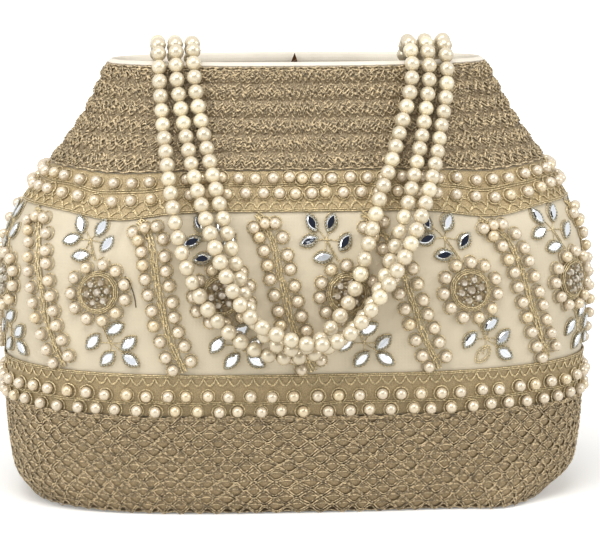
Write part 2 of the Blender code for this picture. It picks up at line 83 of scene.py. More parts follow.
# As the filled bag has settled, its left shoulder is slimmer
SHOULDER_PULL, SHOULDER_X, SHOULDER_WIDTH, SHOULDER_Z, SHOULDER_SPREAD = 3.8, 30, 50, 156, 36
# Its lower corners are pulled in, and the right one is squarer towards the front
LOW_CORNER_LEFT, LOW_CORNER_RIGHT, LOW_CORNER_HEIGHT = 3.5, 8.0, 8.0
LOW_CORNER_START, LOW_CORNER_WIDTH = 70, 40
LOW_CORNER_FORWARD, LOW_CORNER_X, LOW_CORNER_SPREAD, LOW_CORNER_DEPTH = 8.0, 88, 20, 20
# Its sides rise, the right one by a smaller share, and their foot rises once more
SIDE_RISE, SIDE_Z, SIDE_SPREAD, SIDE_START, SIDE_WIDTH, RIGHT_SHARE = 2.2, 62, 42, 50, 70, 0.6
CORNER_RISE, CORNER_HEIGHT = 1.6, 10

# Bands and borders, in mm of height; a border's side says where its lace is from its satin edge,
# and each of its layers of loops has a shift in loops and a start in mm
BASE_LACE_BOTTOM, BASE_LACE_TOP = 0.6, 41.6
TOP_LACE_BOTTOM, TOP_LACE_TOP = 140.8, 181.0
LOWER_BORDER = dict(
    lace=41.9, pearls=(44.2, 50.4), line=47.3, satin=59.2,
    side=-1, loop_width=5.0, loop_depth=3.6, layers=((0.0, 0.0),),
)
UPPER_BORDER = dict(
    lace=140.3, pearls=(137.8, 132.0), line=134.9, satin=124.6,
    side=1, loop_width=5.8, loop_depth=2.9, layers=((0.0, 0.0), (0.5, 3.0)),
)
# The grounds of lace and borders lie this far out from the satin
GROUND_OUT = 0.5
# Base lace: rows of scales, the lowest row, the rows' pitch, and a scale's half sizes and relief
SCALE_ROWS, FIRST_ROW, SCALE_PITCH = 12, 2.1, 3.4
SCALE_HALF_WIDTH, SCALE_HALF_HEIGHT, SCALE_RELIEF = 3.3, 2.5, 1.35
# Top lace: strips, cords in a strip, their spacing, and how long one wave of a cord is
STRIPS, STRIP_RELIEF, STRIP_CORDS, CORD_SPACING, CORD_WAVE = 6, 0.8, 7, 0.72, 3.9

BODY_BOTTOM, BODY_TOP, BODY_WALL = 0.2, 178.5, 1.2
LINING_BOTTOM, LINING_TOP, LINING_OUT, LINING_WALL = 4.2, 173.5, -2.1, 0.8
GATHERS, GATHER_DEPTH, GATHER_Z, GATHER_REACH = 60, 0.7, 150, 60
FACING_BOTTOM, FACING_TOP, FACING_OUT = 172.5, 182.7, -2.4
FACING_FLARE, FLARE_Z, FACING_GAP, FACING_ROUND = 2.4, 178.5, 0.1, 0.9
PATCH_TIP_X, PATCH_TIP_Z = 5.7, 179.6

# Pattern round the satin; places in mm from a medallion's middle, leaves with their tilt
MOTIFS = 12
PATTERN_SHIFT = -0.16
MOTIF_Z = 92.0
UPPER_LEAVES = (
    (-13.5, 28.4, -65), (-4.2, 28.4, 68), (-15.2, 21.2, 22), (0.6, 20.6, 58), (-9.4, 14.6, 8),
)
LOWER_LEAVES = (
    (-1.2, -20.4, 50), (8.0, -14.6, 32), (13.6, -20.4, 42), (4.8, -27.0, 47), (14.4, -27.2, -32),
)
# Each sprig's leaves, the fork of its stalks and their root
SPRIGS = (
    (UPPER_LEAVES, (-7.4, 21.8), (-3.0, 13.0)),
    (LOWER_LEAVES, (6.0, -20.6), (2.4, -12.6)),
)
# A leaf mirror's length and width in metres, the thread round it in mm, and its tips in radians
LEAF_LENGTH, LEAF_WIDTH = 0.0068, 0.0034
LEAF_RIM = (8.9, 5.7)
LEAF_TIPS = (("X", 0.12), ("Y", 0.1))
# A mirror has come off, so that only its threads are left: motif, lower leaf, inner thread
LOST_MIRROR, LOST_RIM = (1, 3), (7.0, 3.6)
# A medallion's stones and grains in metres; small stones and grains lie in rings of this radius,
# number, turn and distance from the cloth
BIG_STONE, SMALL_STONE, GRAIN = 0.0042, 0.0036, 0.0011
BIG_STONE_OUT = 2.5
SMALL_STONE_RING = (4.3, 6, 0.3, 2.2)
GRAIN_RINGS = ((2.7, 6, 0.8, 2.5), (6.0, 9, 0.5, 2.1))
# Rings of its ground, and rings of thread with how far out they lie
GROUND_RINGS = (1.4, 2.8, 4.2, 5.6, 6.6)
THREAD_RINGS = ((7.1, 1.9), (7.8, 1.6), (8.5, 1.2))
RING_PEARLS, PEARL_RING = 11, 11.5
# A thin dark thread beside one medallion: the medallion, and its route in mm from that medallion's middle
DARK_THREAD_MOTIF = 10
DARK_THREAD_LINE = ((10.8, 7.2), (13.4, 3.4), (15.2, -1.0), (16.2, -5.6))
STEM_ROUTE = (
    (7.0, 34.5), (14.0, 28.6), (19.4, 20.5), (23.2, 8.0),
    (26.2, -3.0), (28.4, -12.0), (31.6, -21.0), (37.0, -32.5),
)
STEM_UP, STEM_DOWN = 32.0, 31.8
STEM_THREADS, STEM_OUT = (-1.0, -0.45, 0.1, 0.6, 1.05), 0.75
STEM_PEARLS, STEM_PEARL_SIDE = 11, 4.3
STEM_PEARLS_LOW, STEM_PEARLS_HIGH = 61.2, 120.4

# A pearl's middle stands off its cloth by this share of its radius
PEARL_SEAT, BORDER_PEARL_SEAT = 0.95, 0.9
# How much wider than its pearl a ring is, and its thread, in metres
BORDER_RING, SATIN_RING = (0.0011, 0.0006), (0.001, 0.0005)

# Stage, in metres: the wall's half sizes, each lamp's place, size and power, and the camera
WALL_SIZE, WALL_PLACE = (1.9, 1.35, 1), (0, -3.2, 1.65)
LAMPS = {
    "lamp above": ((-0.2, -0.7, 1.25), 1.0, 12.5),
    "lamp left": ((-1.3, -0.8, 0.7), 0.9, 8),
    "lamp right": ((1.3, -0.7, 0.7), 0.9, 7),
}
LAMP_AIM = (0, 0, 0.09)
CAMERA_AIM, CAMERA_LENS = (0.0025, 0, 0.0916), 177.7
CAMERA_AZIMUTH, CAMERA_HEIGHT, CAMERA_REACH = math.radians(-4.5), 0.290, 1.234

# The strands' routes, as in the part's source, in mm
STRANDS = (
    (
        (-56.1, 15.7, 168.5), (-56.9, 6.9, 175.7), (-57, 0.3, 184.9), (-57, -9.8, 189.8),
        (-57, -20.6, 187), (-57, -26.4, 177.4), (-56.5, -30.9, 166.9), (-55.9, -36.4, 156.9),
        (-55.1, -42.9, 147.6), (-54.3, -49.6, 138.4), (-53.1, -55.1, 128.4), (-51.5, -59.5, 118),
        (-48.9, -62.4, 107.3), (-44.9, -64, 96.7), (-39.2, -64.9, 86.9), (-31.7, -65.6, 78.4),
        (-22.4, -65.9, 71.7), (-11.8, -65.8, 67.7), (-0.4, -65.7, 68), (10.1, -66, 72.3),
        (19, -66, 79.4), (26, -65.6, 88.3), (31, -64.8, 98.6), (35, -63.3, 109.2),
        (38.7, -60.3, 119.5), (42.1, -56.1, 129.6), (44.9, -50.3, 139), (47.6, -43.8, 148),
        (50, -37.5, 157.2), (52, -32, 167), (53.4, -27.5, 177.4), (53.4, -21.6, 187),
        (53.4, -10.8, 189.8), (53.4, -0.8, 184.9), (53.3, 5.9, 175.7), (52.6, 14.7, 168.5),
    ),
    (
        (-49.6, 15.7, 168.5), (-49.9, 6.3, 175), (-50, -0.7, 183.8), (-50, -10.3, 189.7),
        (-50, -21.4, 187.7), (-50.1, -27.9, 178.6), (-49.1, -32.2, 168), (-47.5, -37.5, 157.9),
        (-46, -44, 148.6), (-44.3, -50.8, 139.5), (-42, -56.9, 130), (-39.2, -62.4, 120.4),
        (-36, -67.1, 110.4), (-32, -70.7, 100.3), (-26.9, -73, 90.3), (-19.2, -74.8, 82.1),
        (-9, -77, 77.3), (2.1, -78, 74.7), (13, -76.4, 76.3), (21.6, -74.2, 83.4),
        (28.6, -72.7, 92.5), (35, -71.4, 101.9), (40.6, -68.2, 111.3), (45.2, -63.4, 120.7),
        (49.1, -57.4, 129.7), (52.3, -50.7, 138.4), (55, -43.6, 147), (57.2, -36.7, 155.9),
        (59.5, -30.8, 165.5), (60.9, -25.9, 175.7), (61, -20.6, 185.8), (61, -10.2, 189.9),
        (61, 0.3, 186.1), (60.9, 7, 176.8), (59.1, 14.7, 168.5),
    ),
    (
        (-43.1, 15.7, 168.5), (-43, 6, 174.5), (-43, -1.6, 182.7), (-43, -10.5, 189.4),
        (-43, -21.6, 188.3), (-43.1, -28.8, 179.9), (-42.2, -32.9, 169.3), (-40.5, -38, 159.2),
        (-38.7, -44, 149.6), (-36.9, -50.6, 140.5), (-34.9, -56.2, 130.8), (-32.3, -60.4, 120.5),
        (-29.5, -63.4, 109.8), (-26.6, -65, 98.9), (-23.3, -65.8, 88), (-18.1, -67.8, 78.1),
        (-9.1, -71, 72.2), (1.8, -71.3, 73.5), (10.2, -68.7, 80.6), (16.8, -66.1, 89.5),
        (21.4, -65.2, 99.9), (24.5, -63.5, 110.8), (27.5, -60.5, 121.4), (30.6, -56.4, 131.6),
        (34.4, -50.6, 140.6), (37.9, -44.3, 149.5), (41.1, -38.3, 158.6), (44.4, -33, 168.3),
        (46.3, -28.7, 178.6), (46.2, -22.2, 187.7), (46.2, -11.2, 189.7), (46.2, -1.6, 183.9),
        (46.2, 5.3, 175.1), (46.1, 14.7, 168.5),
    ),
)
STRAND_LENGTHS = (0.398, 0.388, 0.374)


def linear(colour):
    """A colour written as sRGB hex, in Blender's linear values."""
    parts = [int(colour[i : i + 2], 16) / 255 for i in (1, 3, 5)]
    return tuple(c / 12.92 if c <= 0.04045 else ((c + 0.055) / 1.055) ** 2.4 for c in parts)


def colour_property(name, description, colour):
    return FloatVectorProperty(
        name=name, description=description, subtype="COLOR", size=3, min=0, max=1, default=linear(colour)
    )


def length_property(name, description, metres):
    return FloatProperty(
        name=name, description=description, unit="LENGTH", precision=5, min=0, default=metres
    )


class PotliColours(bpy.types.PropertyGroup):
    satin: colour_property("Satin", "The ivory cloth of the body", "#CDC1A8")
    lining: colour_property("Lining", "The cream cloth of lining and rim", "#F1E8D8")
    # The lace ground colour is painted shade, put in the gaps between the lace's cords and in the dips
    # between its scales
    lace: colour_property("Lace ground", "The shaded yarn between the lace's cords", "#6C5A3E")
    lace_pad: colour_property("Lace pad", "The padded scales of the base lace", "#A08C6A")
    lace_cord: colour_property("Lace cord", "The bright cord of both lace bands", "#BCA987")
    zari: colour_property("Gold thread", "The thread of borders, stems and rings", "#CDBB92")
    net: colour_property("Border ground", "The cloth that the borders are worked on", "#A8946E")
    handle_pearl: colour_property("Handle pearl", "The pearls of the strands", "#D6C9AE")
    sewn_pearl: colour_property("Sewn pearl", "The pearls sewn on the cloth", "#DACBB2")
    mirror: colour_property("Mirror", "The leaf mirrors", "#E9EDF2")
    patch: colour_property("Patch", "The patches under the snap", "#5B3A1C")


class PotliSizes(bpy.types.PropertyGroup):
    handle_pearl: length_property("Handle pearl", "Diameter of a strand's pearl", 0.0065)
    pearl_pitch: length_property("Pearl pitch", "Distance between a strand's pearls", 0.0062)
    sewn_pearl: length_property("Sewn pearl", "Diameter of a sewn pearl", 0.0047)
    cord: length_property("Lace cord", "Diameter of the lace's cord", 0.0007)
    thread: length_property("Gold thread", "Diameter of the couched thread", 0.00045)
    scale_width: length_property("Lace scale", "Width of one scale of the base lace", 0.0078)
    border_pearls: IntProperty(
        name="Border pearls", description="Pearls in one row round the bag", default=72, min=12
    )


def section(z):
    """Half width, half depth and squareness at each height."""
    z = np.asarray(z, float)
    heights = LEVELS[:, 0]
    i = np.clip(np.searchsorted(heights, z) - 1, 0, len(heights) - 2)
    step = heights[i + 1] - heights[i]
    u = np.clip((z - heights[i]) / step, 0, 1)[:, None]
    step = step[:, None]
    return (
        LEVELS[i, 1:] * (1 + 2 * u) * (1 - u) ** 2
        + SLOPES[i] * step * u * (1 - u) ** 2
        + LEVELS[i + 1, 1:] * u**2 * (3 - 2 * u)
        - SLOPES[i + 1] * step * u**2 * (1 - u)
    ).T


def outline(angle, z):
    """The section's outline: angle 0 is the front centre, growing towards +X."""
    a, b, n = section(z)
    s, c = np.sin(angle), -np.cos(angle)
    return a * np.sign(s) * abs(s) ** (2 / n), b * np.sign(c) * abs(c) ** (2 / n)


def distances(points):
    """How far along a run each of its points lies."""
    return np.concatenate([[0], np.cumsum(np.linalg.norm(np.diff(points, axis=0), axis=1))])


def turn_table(z):
    """The share of the way round at many angles of one level, and the level's girth."""
    angles = np.linspace(0, TURN, 2401)
    lengths = distances(np.stack(outline(angles, np.full_like(angles, z)), 1))
    return angles, lengths / lengths[-1], lengths[-1]


ANGLES, TURNS, GIRTH = turn_table(91.0)


def level_scale(z):
    """How much narrower than at the belly the cloth's level is at a height."""
    return turn_table(z)[2] / GIRTH


def ramp(value, start, width):
    """Grows from 0 to 1 over a width."""
    return np.clip((value - start) / width, 0, 1)


def hump(value, middle, spread):
    """A smooth hump, 1 high at its middle."""
    return np.exp(-(((value - middle) / spread) ** 2))


def round_wave(count, x, start=0):
    """A wave between -1 and 1, with this many turns round the bag."""
    return np.sin(TURN * count * x / GIRTH + start)


def bag_surface(x, z, out):
    """Wraps flat places round the bag: mm across from the front centre, up, and out from the cloth."""
    x, z, out = (np.asarray(values, float) for values in np.broadcast_arrays(x, z, out))
    angle = np.interp((x / GIRTH) % 1.0, TURNS, ANGLES)
    across = outline(angle, z)[0]
    z = z - SAG_DEPTH * hump(abs(across), SAG_X, SAG_SPREAD) * hump(z, SAG_Z, SAG_HEIGHT)
    a, b, n = section(z)
    px, py = outline(angle, z)
    nx = np.sign(px) * abs(px / a) ** (n - 1) / a
    ny = np.sign(py) * abs(py / b) ** (n - 1) / b
    size = np.hypot(nx, ny)
    dart = DART_DEPTH * hump(abs(px), DART_X, DART_SPREAD) * hump(z, DART_Z, DART_SPREAD)
    move = out - dart + unevenness(x, z)
    return settled(px + nx / size * move, py + ny / size * move, z) * MM


def settled(x, y, z):
    """Where the filled bag's cloth has settled, in mm."""
    right = ramp(x, LOW_CORNER_START, LOW_CORNER_WIDTH)
    slim = ramp(-x, SHOULDER_X, SHOULDER_WIDTH) * hump(z, SHOULDER_Z, SHOULDER_SPREAD)
    x = x + SHOULDER_PULL * slim
    left = ramp(-x, LOW_CORNER_START, LOW_CORNER_WIDTH)
    low = hump(z, 0, LOW_CORNER_HEIGHT)
    squarer = hump(x, LOW_CORNER_X, LOW_CORNER_SPREAD) * ramp(-y, 0, LOW_CORNER_DEPTH)
    y = y - LOW_CORNER_FORWARD * squarer * low
    x = x + low * (LOW_CORNER_LEFT * left - LOW_CORNER_RIGHT * right)
    side = ramp(abs(x), SIDE_START, SIDE_WIDTH) ** 2 * np.where(x < 0, 1, RIGHT_SHARE)
    rise = SIDE_RISE * hump(z, SIDE_Z, SIDE_SPREAD) + CORNER_RISE * np.exp(-z / CORNER_HEIGHT)
    return np.stack([x, y, z + side * rise], 1)


def unevenness(x, z):
    """The cloth's softness: shallow swells, and one crease below the left dart."""
    field = np.exp(-(((z - MOTIF_Z) / SWELL_REACH) ** 4))
    swell = sum(depth * round_wave(waves, x, z / rise + start) for depth, waves, rise, start in SWELLS)
    crease = hump(x, CREASE_X + CREASE_SLANT * (z - CREASE_Z), CREASE_WIDTH)
    fade = ramp(z, CREASE_BOTTOM, CREASE_FADE_IN) * ramp(-z, -CREASE_TOP, CREASE_FADE_OUT)
    return field * swell + crease * fade


def seats(x, z, out=0.0):
    """A matrix for each place on the bag: its X runs across, its Y up and its Z outwards."""
    x, z, out = (np.atleast_1d(v).astype(float) for v in np.broadcast_arrays(x, z, out))
    place = bag_surface(x, z, out)
    across = bag_surface(x + 0.5, z, out) - bag_surface(x - 0.5, z, out)
    up = bag_surface(x, z + 0.5, out) - bag_surface(x, z - 0.5, out)
    across /= np.linalg.norm(across, axis=1)[:, None]
    normal = np.cross(across, up)
    normal /= np.linalg.norm(normal, axis=1)[:, None]
    up = np.cross(normal, across)
    made = []
    for columns in zip(across, up, normal, place):
        matrix = Matrix.Identity(4)
        for i, column in enumerate(columns):
            matrix.col[i][:3] = column
        made.append(matrix)
    return made


def places_of(mesh):
    places = np.empty(len(mesh.vertices) * 3)
    mesh.vertices.foreach_get("co", places)
    return places.reshape(-1, 3)


def move_vertices(mesh, change):
    """Puts a mesh's vertices where a function of their places says."""
    mesh.vertices.foreach_set("co", change(places_of(mesh)).ravel())
    mesh.update()


def flat_run(x, z, out):
    """Flat places, in mm: across, up, and out from the cloth, which is towards -Y."""
    return np.stack(np.broadcast_arrays(x, -np.asarray(out), z), 1)


def wrap(mesh):
    """Wraps a flat mesh round the bag."""
    move_vertices(mesh, lambda p: bag_surface(p[:, 0], p[:, 2], -p[:, 1]))


def flat_uv(mesh):
    """Gives a flat mesh a UV map in metres, so that a weave follows the cloth."""
    corners = np.empty(len(mesh.loops), int)
    mesh.loops.foreach_get("vertex_index", corners)
    layer = mesh.uv_layers.new(name="cloth")
    layer.data.foreach_set("uv", (places_of(mesh)[corners][:, [0, 2]] * MM).ravel())


def mesh_of(bm, smooth=True, slot=0):
    """A mesh of a bmesh, with the number of its material."""
    mesh = bpy.data.meshes.new("shape")
    for face in bm.faces:
        face.smooth = smooth
        face.material_index = slot
    bm.to_mesh(mesh)
    bm.free()
    return mesh


def flat_cloth(columns, rows, bottom, top, out):
    """A grid wrapped round the bag until its ends meet at the back; out is a function of x and z."""
    bm = bmesh.new()
    bmesh.ops.create_grid(bm, x_segments=columns, y_segments=rows, size=1)
    bmesh.ops.scale(bm, vec=(GIRTH / 2, (top - bottom) / 2, 1), verts=bm.verts)
    bmesh.ops.rotate(bm, matrix=Matrix.Rotation(math.pi / 2, 3, "X"), verts=bm.verts)
    bmesh.ops.translate(bm, vec=(0, 0, (top + bottom) / 2), verts=bm.verts)
    mesh = mesh_of(bm)
    flat_uv(mesh)
    move_vertices(mesh, lambda p: flat_run(p[:, 0], p[:, 2], out(p[:, 0], p[:, 2])))
    # The height above the satin is kept, and the base lace's painted shade in its dips is drawn from it
    raised = mesh.attributes.new("raised", "FLOAT", "POINT")
    raised.data.foreach_set("value", -places_of(mesh)[:, 1])
    wrap(mesh)
    return mesh


def closed(mesh, ends=()):
    """Welds the seam at the back and fills the named open ends, bottom or top."""
    bm = bmesh.new()
    bm.from_mesh(mesh)
    bmesh.ops.remove_doubles(bm, verts=bm.verts, dist=2e-6)
    edges = [edge for edge in bm.edges if edge.is_boundary]
    middle = sum(edge.verts[0].co.z for edge in edges) / max(1, len(edges))
    for end in ends:
        loop = [edge for edge in edges if (edge.verts[0].co.z < middle) == (end == "bottom")]
        filled = bmesh.ops.edgeloop_fill(bm, edges=loop)["faces"]
        bmesh.ops.inset_region(bm, faces=filled, thickness=0.004, use_even_offset=True)
    bm.to_mesh(mesh)
    bm.free()
    return mesh


def threads(runs, diameter, sides=4, ring=False):
    """Round threads along flat runs of (x, -out, z) places, wrapped round the bag."""
    curve = bpy.data.curves.new("runs", "CURVE")
    curve.dimensions = "3D"
    curve.bevel_depth = diameter / 2 / MM
    curve.bevel_resolution = (sides - 4) // 2
    curve.use_fill_caps = True
    for run in runs:
        spline = curve.splines.new("POLY")
        spline.points.add(len(run) - 1)
        spline.points.foreach_set("co", np.column_stack([run, np.ones(len(run))]).ravel())
        spline.use_cyclic_u = ring
    holder = bpy.data.objects.new("runs", curve)
    mesh = bpy.data.meshes.new_from_object(holder)
    bpy.data.objects.remove(holder)
    bpy.data.curves.remove(curve)
    wrap(mesh)
    mesh.shade_smooth()
    return mesh


def stamp(bm, template, matrices):
    """Adds a copy of a small shape to the piece at each seat."""
    for matrix in matrices:
        copy = template.copy()
        copy.transform(matrix)
        bm.from_mesh(copy)
        bpy.data.meshes.remove(copy)


def add_mesh(bm, mesh, slot=0):
    """Adds a mesh to the piece, with the number of its material."""
    mesh.polygons.foreach_set("material_index", np.full(len(mesh.polygons), slot, np.int32))
    bm.from_mesh(mesh)
    bpy.data.meshes.remove(mesh)


def piece(name, made, materials, replaces=()):
    """Makes a finished object of a mesh or bmesh: on its body, with its materials."""
    if isinstance(made, bmesh.types.BMesh):
        mesh = bpy.data.meshes.new(name)
        made.to_mesh(mesh)
        made.free()
    else:
        mesh = made
        mesh.name = name
    for material in materials:
        mesh.materials.append(material)
    obj = bpy.data.objects.new(name, mesh)
    bpy.context.scene.collection.objects.link(obj)
    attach(obj, "root")
    if replaces:
        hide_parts(*replaces)
    return obj


# Materials
def new_material(name, **values):
    """A material whose shader has these values; an underscore stands for a space."""
    material = bpy.data.materials.new(name)
    material.use_nodes = True
    shader = material.node_tree.nodes["Principled BSDF"]
    for key, value in values.items():
        shader.inputs[key.replace("_", " ")].default_value = value
    return material


def add_node(owner, kind, inputs=None, **settings):
    """Adds a node to a material or world; an input is given a value or another node's output."""
    node = owner.node_tree.nodes.new(kind)
    for key, value in settings.items():
        setattr(node, key, value)
    for key, value in (inputs or {}).items():
        if isinstance(value, bpy.types.NodeSocket):
            owner.node_tree.links.new(value, node.inputs[key])
        else:
            node.inputs[key].default_value = value
    return node


def link(material, output, socket):
    """Links a node's output to the material's shader."""
    shader = material.node_tree.nodes["Principled BSDF"]
    material.node_tree.links.new(output, shader.inputs[socket])


def shades(material, factor, stops):
    """A ramp from one colour to the next, at these places."""
    ramp = add_node(material, "ShaderNodeValToRGB", {"Fac": factor})
    elements = ramp.color_ramp.elements
    while len(elements) < len(stops):
        elements.new(0.5)
    for element, (place, colour) in zip(elements, stops):
        element.position = place
        element.color = (*colour, 1)
    return ramp.outputs["Color"]


def shaded(colour, share):
    """A colour at a share of its brightness."""
    return tuple(c * share for c in colour)


def satin_material(name, colour, sheen):
    # Woven satin: long soft highlights across the floats, faint ribs, paler and darker drifts
    material = new_material(
        name, Roughness=0.46, Sheen_Weight=sheen, Sheen_Roughness=0.35, Specular_IOR_Level=0.35
    )
    uv = add_node(material, "ShaderNodeUVMap", uv_map="cloth").outputs["UV"]
    drift = add_node(material, "ShaderNodeTexNoise", {"Vector": uv, "Scale": 1 / 0.022, "Detail": 3.0})
    tones = shades(material, drift.outputs["Fac"], ((0.3, shaded(colour, 0.9)), (0.7, colour)))
    link(material, tones, "Base Color")
    # Yarns 0.3 mm apart would not show, so the ribs are drawn 0.7 mm wide
    rib = 0.0007
    ribs = [
        add_node(
            material,
            "ShaderNodeTexWave",
            {"Vector": uv, "Scale": 1 / rib / TURN, "Distortion": 0.6, "Detail": 1.0},
            bands_direction=direction,
        ).outputs["Fac"]
        for direction in ("X", "Y")
    ]
    weave = add_node(material, "ShaderNodeMath", {0: ribs[0], 1: ribs[1]}, operation="MULTIPLY")
    folds = add_node(material, "ShaderNodeTexNoise", {"Vector": uv, "Scale": 1 / 0.012, "Detail": 2.0})
    soft = add_node(
        material, "ShaderNodeBump", {"Height": folds.outputs["Fac"], "Distance": 0.0012, "Strength": 0.35}
    )
    fine = add_node(
        material,
        "ShaderNodeBump",
        {
            "Height": weave.outputs["Value"],
            "Distance": 0.00008,
            "Strength": 0.5,
            "Normal": soft.outputs["Normal"],
        },
    )
    link(material, fine.outputs["Normal"], "Normal")
    return material


def yarn_material(name, colour, shade, size, metallic, roughness):
    # Metallised yarn: each strand glints on its ridges, which are also painted in the paler colour, and its
    # gaps are painted shade
    material = new_material(name, Metallic=metallic, Roughness=roughness, Specular_IOR_Level=0.4)
    place = add_node(material, "ShaderNodeTexCoord").outputs["Object"]
    bent = add_node(material, "ShaderNodeTexNoise", {"Vector": place, "Scale": 0.5 / size, "Detail": 2.0})
    curl = add_node(
        material,
        "ShaderNodeVectorMath",
        {0: bent.outputs["Color"], 1: (size, size, size)},
        operation="MULTIPLY",
    )
    moved = add_node(material, "ShaderNodeVectorMath", {0: place, 1: curl.outputs[0]}, operation="ADD")
    strands = add_node(
        material,
        "ShaderNodeTexVoronoi",
        {"Vector": moved.outputs[0], "Scale": 1 / size},
        feature="DISTANCE_TO_EDGE",
    ).outputs["Distance"]
    # Painted light and shade: the pale colour on the strands' ridges, the shade colour in their hollows
    link(material, shades(material, strands, ((0.02, colour), (0.16, shade))), "Base Color")
    bump = add_node(material, "ShaderNodeBump", {"Height": strands, "Distance": -size / 4, "Strength": 0.7})
    link(material, bump.outputs["Normal"], "Normal")
    return material


def pad_material(name, colour, shade):
    # Stuffed scales of fine metallised yarn: smooth and soft on top, and painted shade where they dip down
    # between the scales
    material = yarn_material(name, colour, shaded(colour, 0.7), 0.0008, 0.2, 0.45)
    # Painted shade: the lower the yarn lies, the more it takes the lace ground colour at 0.7 of its
    # brightness
    height = add_node(material, "ShaderNodeAttribute", attribute_name="raised").outputs["Fac"]
    top = add_node(material, "ShaderNodeMapRange", {"Value": height, "From Min": 0.7, "From Max": 1.5})
    yarn = material.node_tree.nodes["Principled BSDF"].inputs["Base Color"].links[0].from_socket
    tones = {"Factor": top.outputs["Result"], 6: (*shaded(shade, 0.7), 1), 7: yarn}
    dip_shade_mix = add_node(material, "ShaderNodeMix", tones, data_type="RGBA")
    link(material, dip_shade_mix.outputs[2], "Base Color")
    return material


def cord_material(name, colour, size, metallic, roughness, brown):
    # Twisted metal thread: slanting glints about two diameters apart, and paler and browner lengths
    material = new_material(name, Metallic=metallic, Roughness=roughness, Specular_IOR_Level=0.5)
    place = add_node(material, "ShaderNodeTexCoord").outputs["Object"]
    patches = add_node(material, "ShaderNodeTexNoise", {"Vector": place, "Scale": 0.75 / size, "Detail": 3.0})
    tones = ((0.38, shaded(colour, brown)), (0.5, shaded(colour, 0.85)), (0.6, shaded(colour, 1.4)))
    link(material, shades(material, patches.outputs["Fac"], tones), "Base Color")
    twist = add_node(
        material,
        "ShaderNodeTexWave",
        {"Vector": place, "Scale": 1 / size / TURN, "Distortion": 1.5, "Detail": 1.0},
        bands_direction="DIAGONAL",
    )
    raised = {"Height": twist.outputs["Fac"], "Distance": size / 6, "Strength": 0.6}
    bump = add_node(material, "ShaderNodeBump", raised)
    link(material, bump.outputs["Normal"], "Normal")
    return material


def pearl_material(name, colour, warm):
    # Pearl lacquer on a bead: a soft metallic skin, a clear gloss above it, and no two beads alike
    material = new_material(
        name, Metallic=0.36, Roughness=0.26, Specular_IOR_Level=0.6, Coat_Weight=0.5, Coat_Roughness=0.08
    )
    each = add_node(material, "ShaderNodeNewGeometry").outputs["Random Per Island"]
    tint = shades(material, each, ((0.0, shaded(colour, 0.93)), (0.6, colour), (1.0, warm)))
    link(material, tint, "Base Color")
    return material


def glitter_material(name, colour, shade, metallic, roughness, size):
    # Cut stones and foil: bright and dark spots side by side, painted highlights and painted shade that stand
    # for facets catching and missing the light
    material = new_material(name, Metallic=metallic, Roughness=roughness)
    place = add_node(material, "ShaderNodeTexCoord").outputs["Object"]
    painted_glints = add_node(material, "ShaderNodeTexVoronoi", {"Vector": place, "Scale": 1 / size})
    tones = shades(material, painted_glints.outputs["Distance"], ((0.15, colour), (0.7, shade)))
    link(material, tones, "Base Color")
    return material


def plain_metal(name, colour, roughness):
    # Plated or silvered surface: clear reflections with a faint unevenness from pressing
    material = new_material(name, Base_Color=(*colour, 1), Metallic=1.0, Roughness=roughness)
    place = add_node(material, "ShaderNodeTexCoord").outputs["Object"]
    waves = add_node(material, "ShaderNodeTexNoise", {"Vector": place, "Scale": 1 / 0.003})
    raised = {"Height": waves.outputs["Fac"], "Distance": 0.0002, "Strength": 0.1}
    bump = add_node(material, "ShaderNodeBump", raised)
    link(material, bump.outputs["Normal"], "Normal")
    return material


def grained_material(name, colour):
    # Leather or pressed card: low gloss and a fine pebbled grain
    material = new_material(name, Base_Color=(*colour, 1), Roughness=0.55)
    place = add_node(material, "ShaderNodeTexCoord").outputs["Object"]
    grain = add_node(material, "ShaderNodeTexVoronoi", {"Vector": place, "Scale": 1 / 0.0007})
    raised = {"Height": grain.outputs["Distance"], "Distance": 0.0001, "Strength": 0.5}
    bump = add_node(material, "ShaderNodeBump", raised)
    link(material, bump.outputs["Normal"], "Normal")
    return material


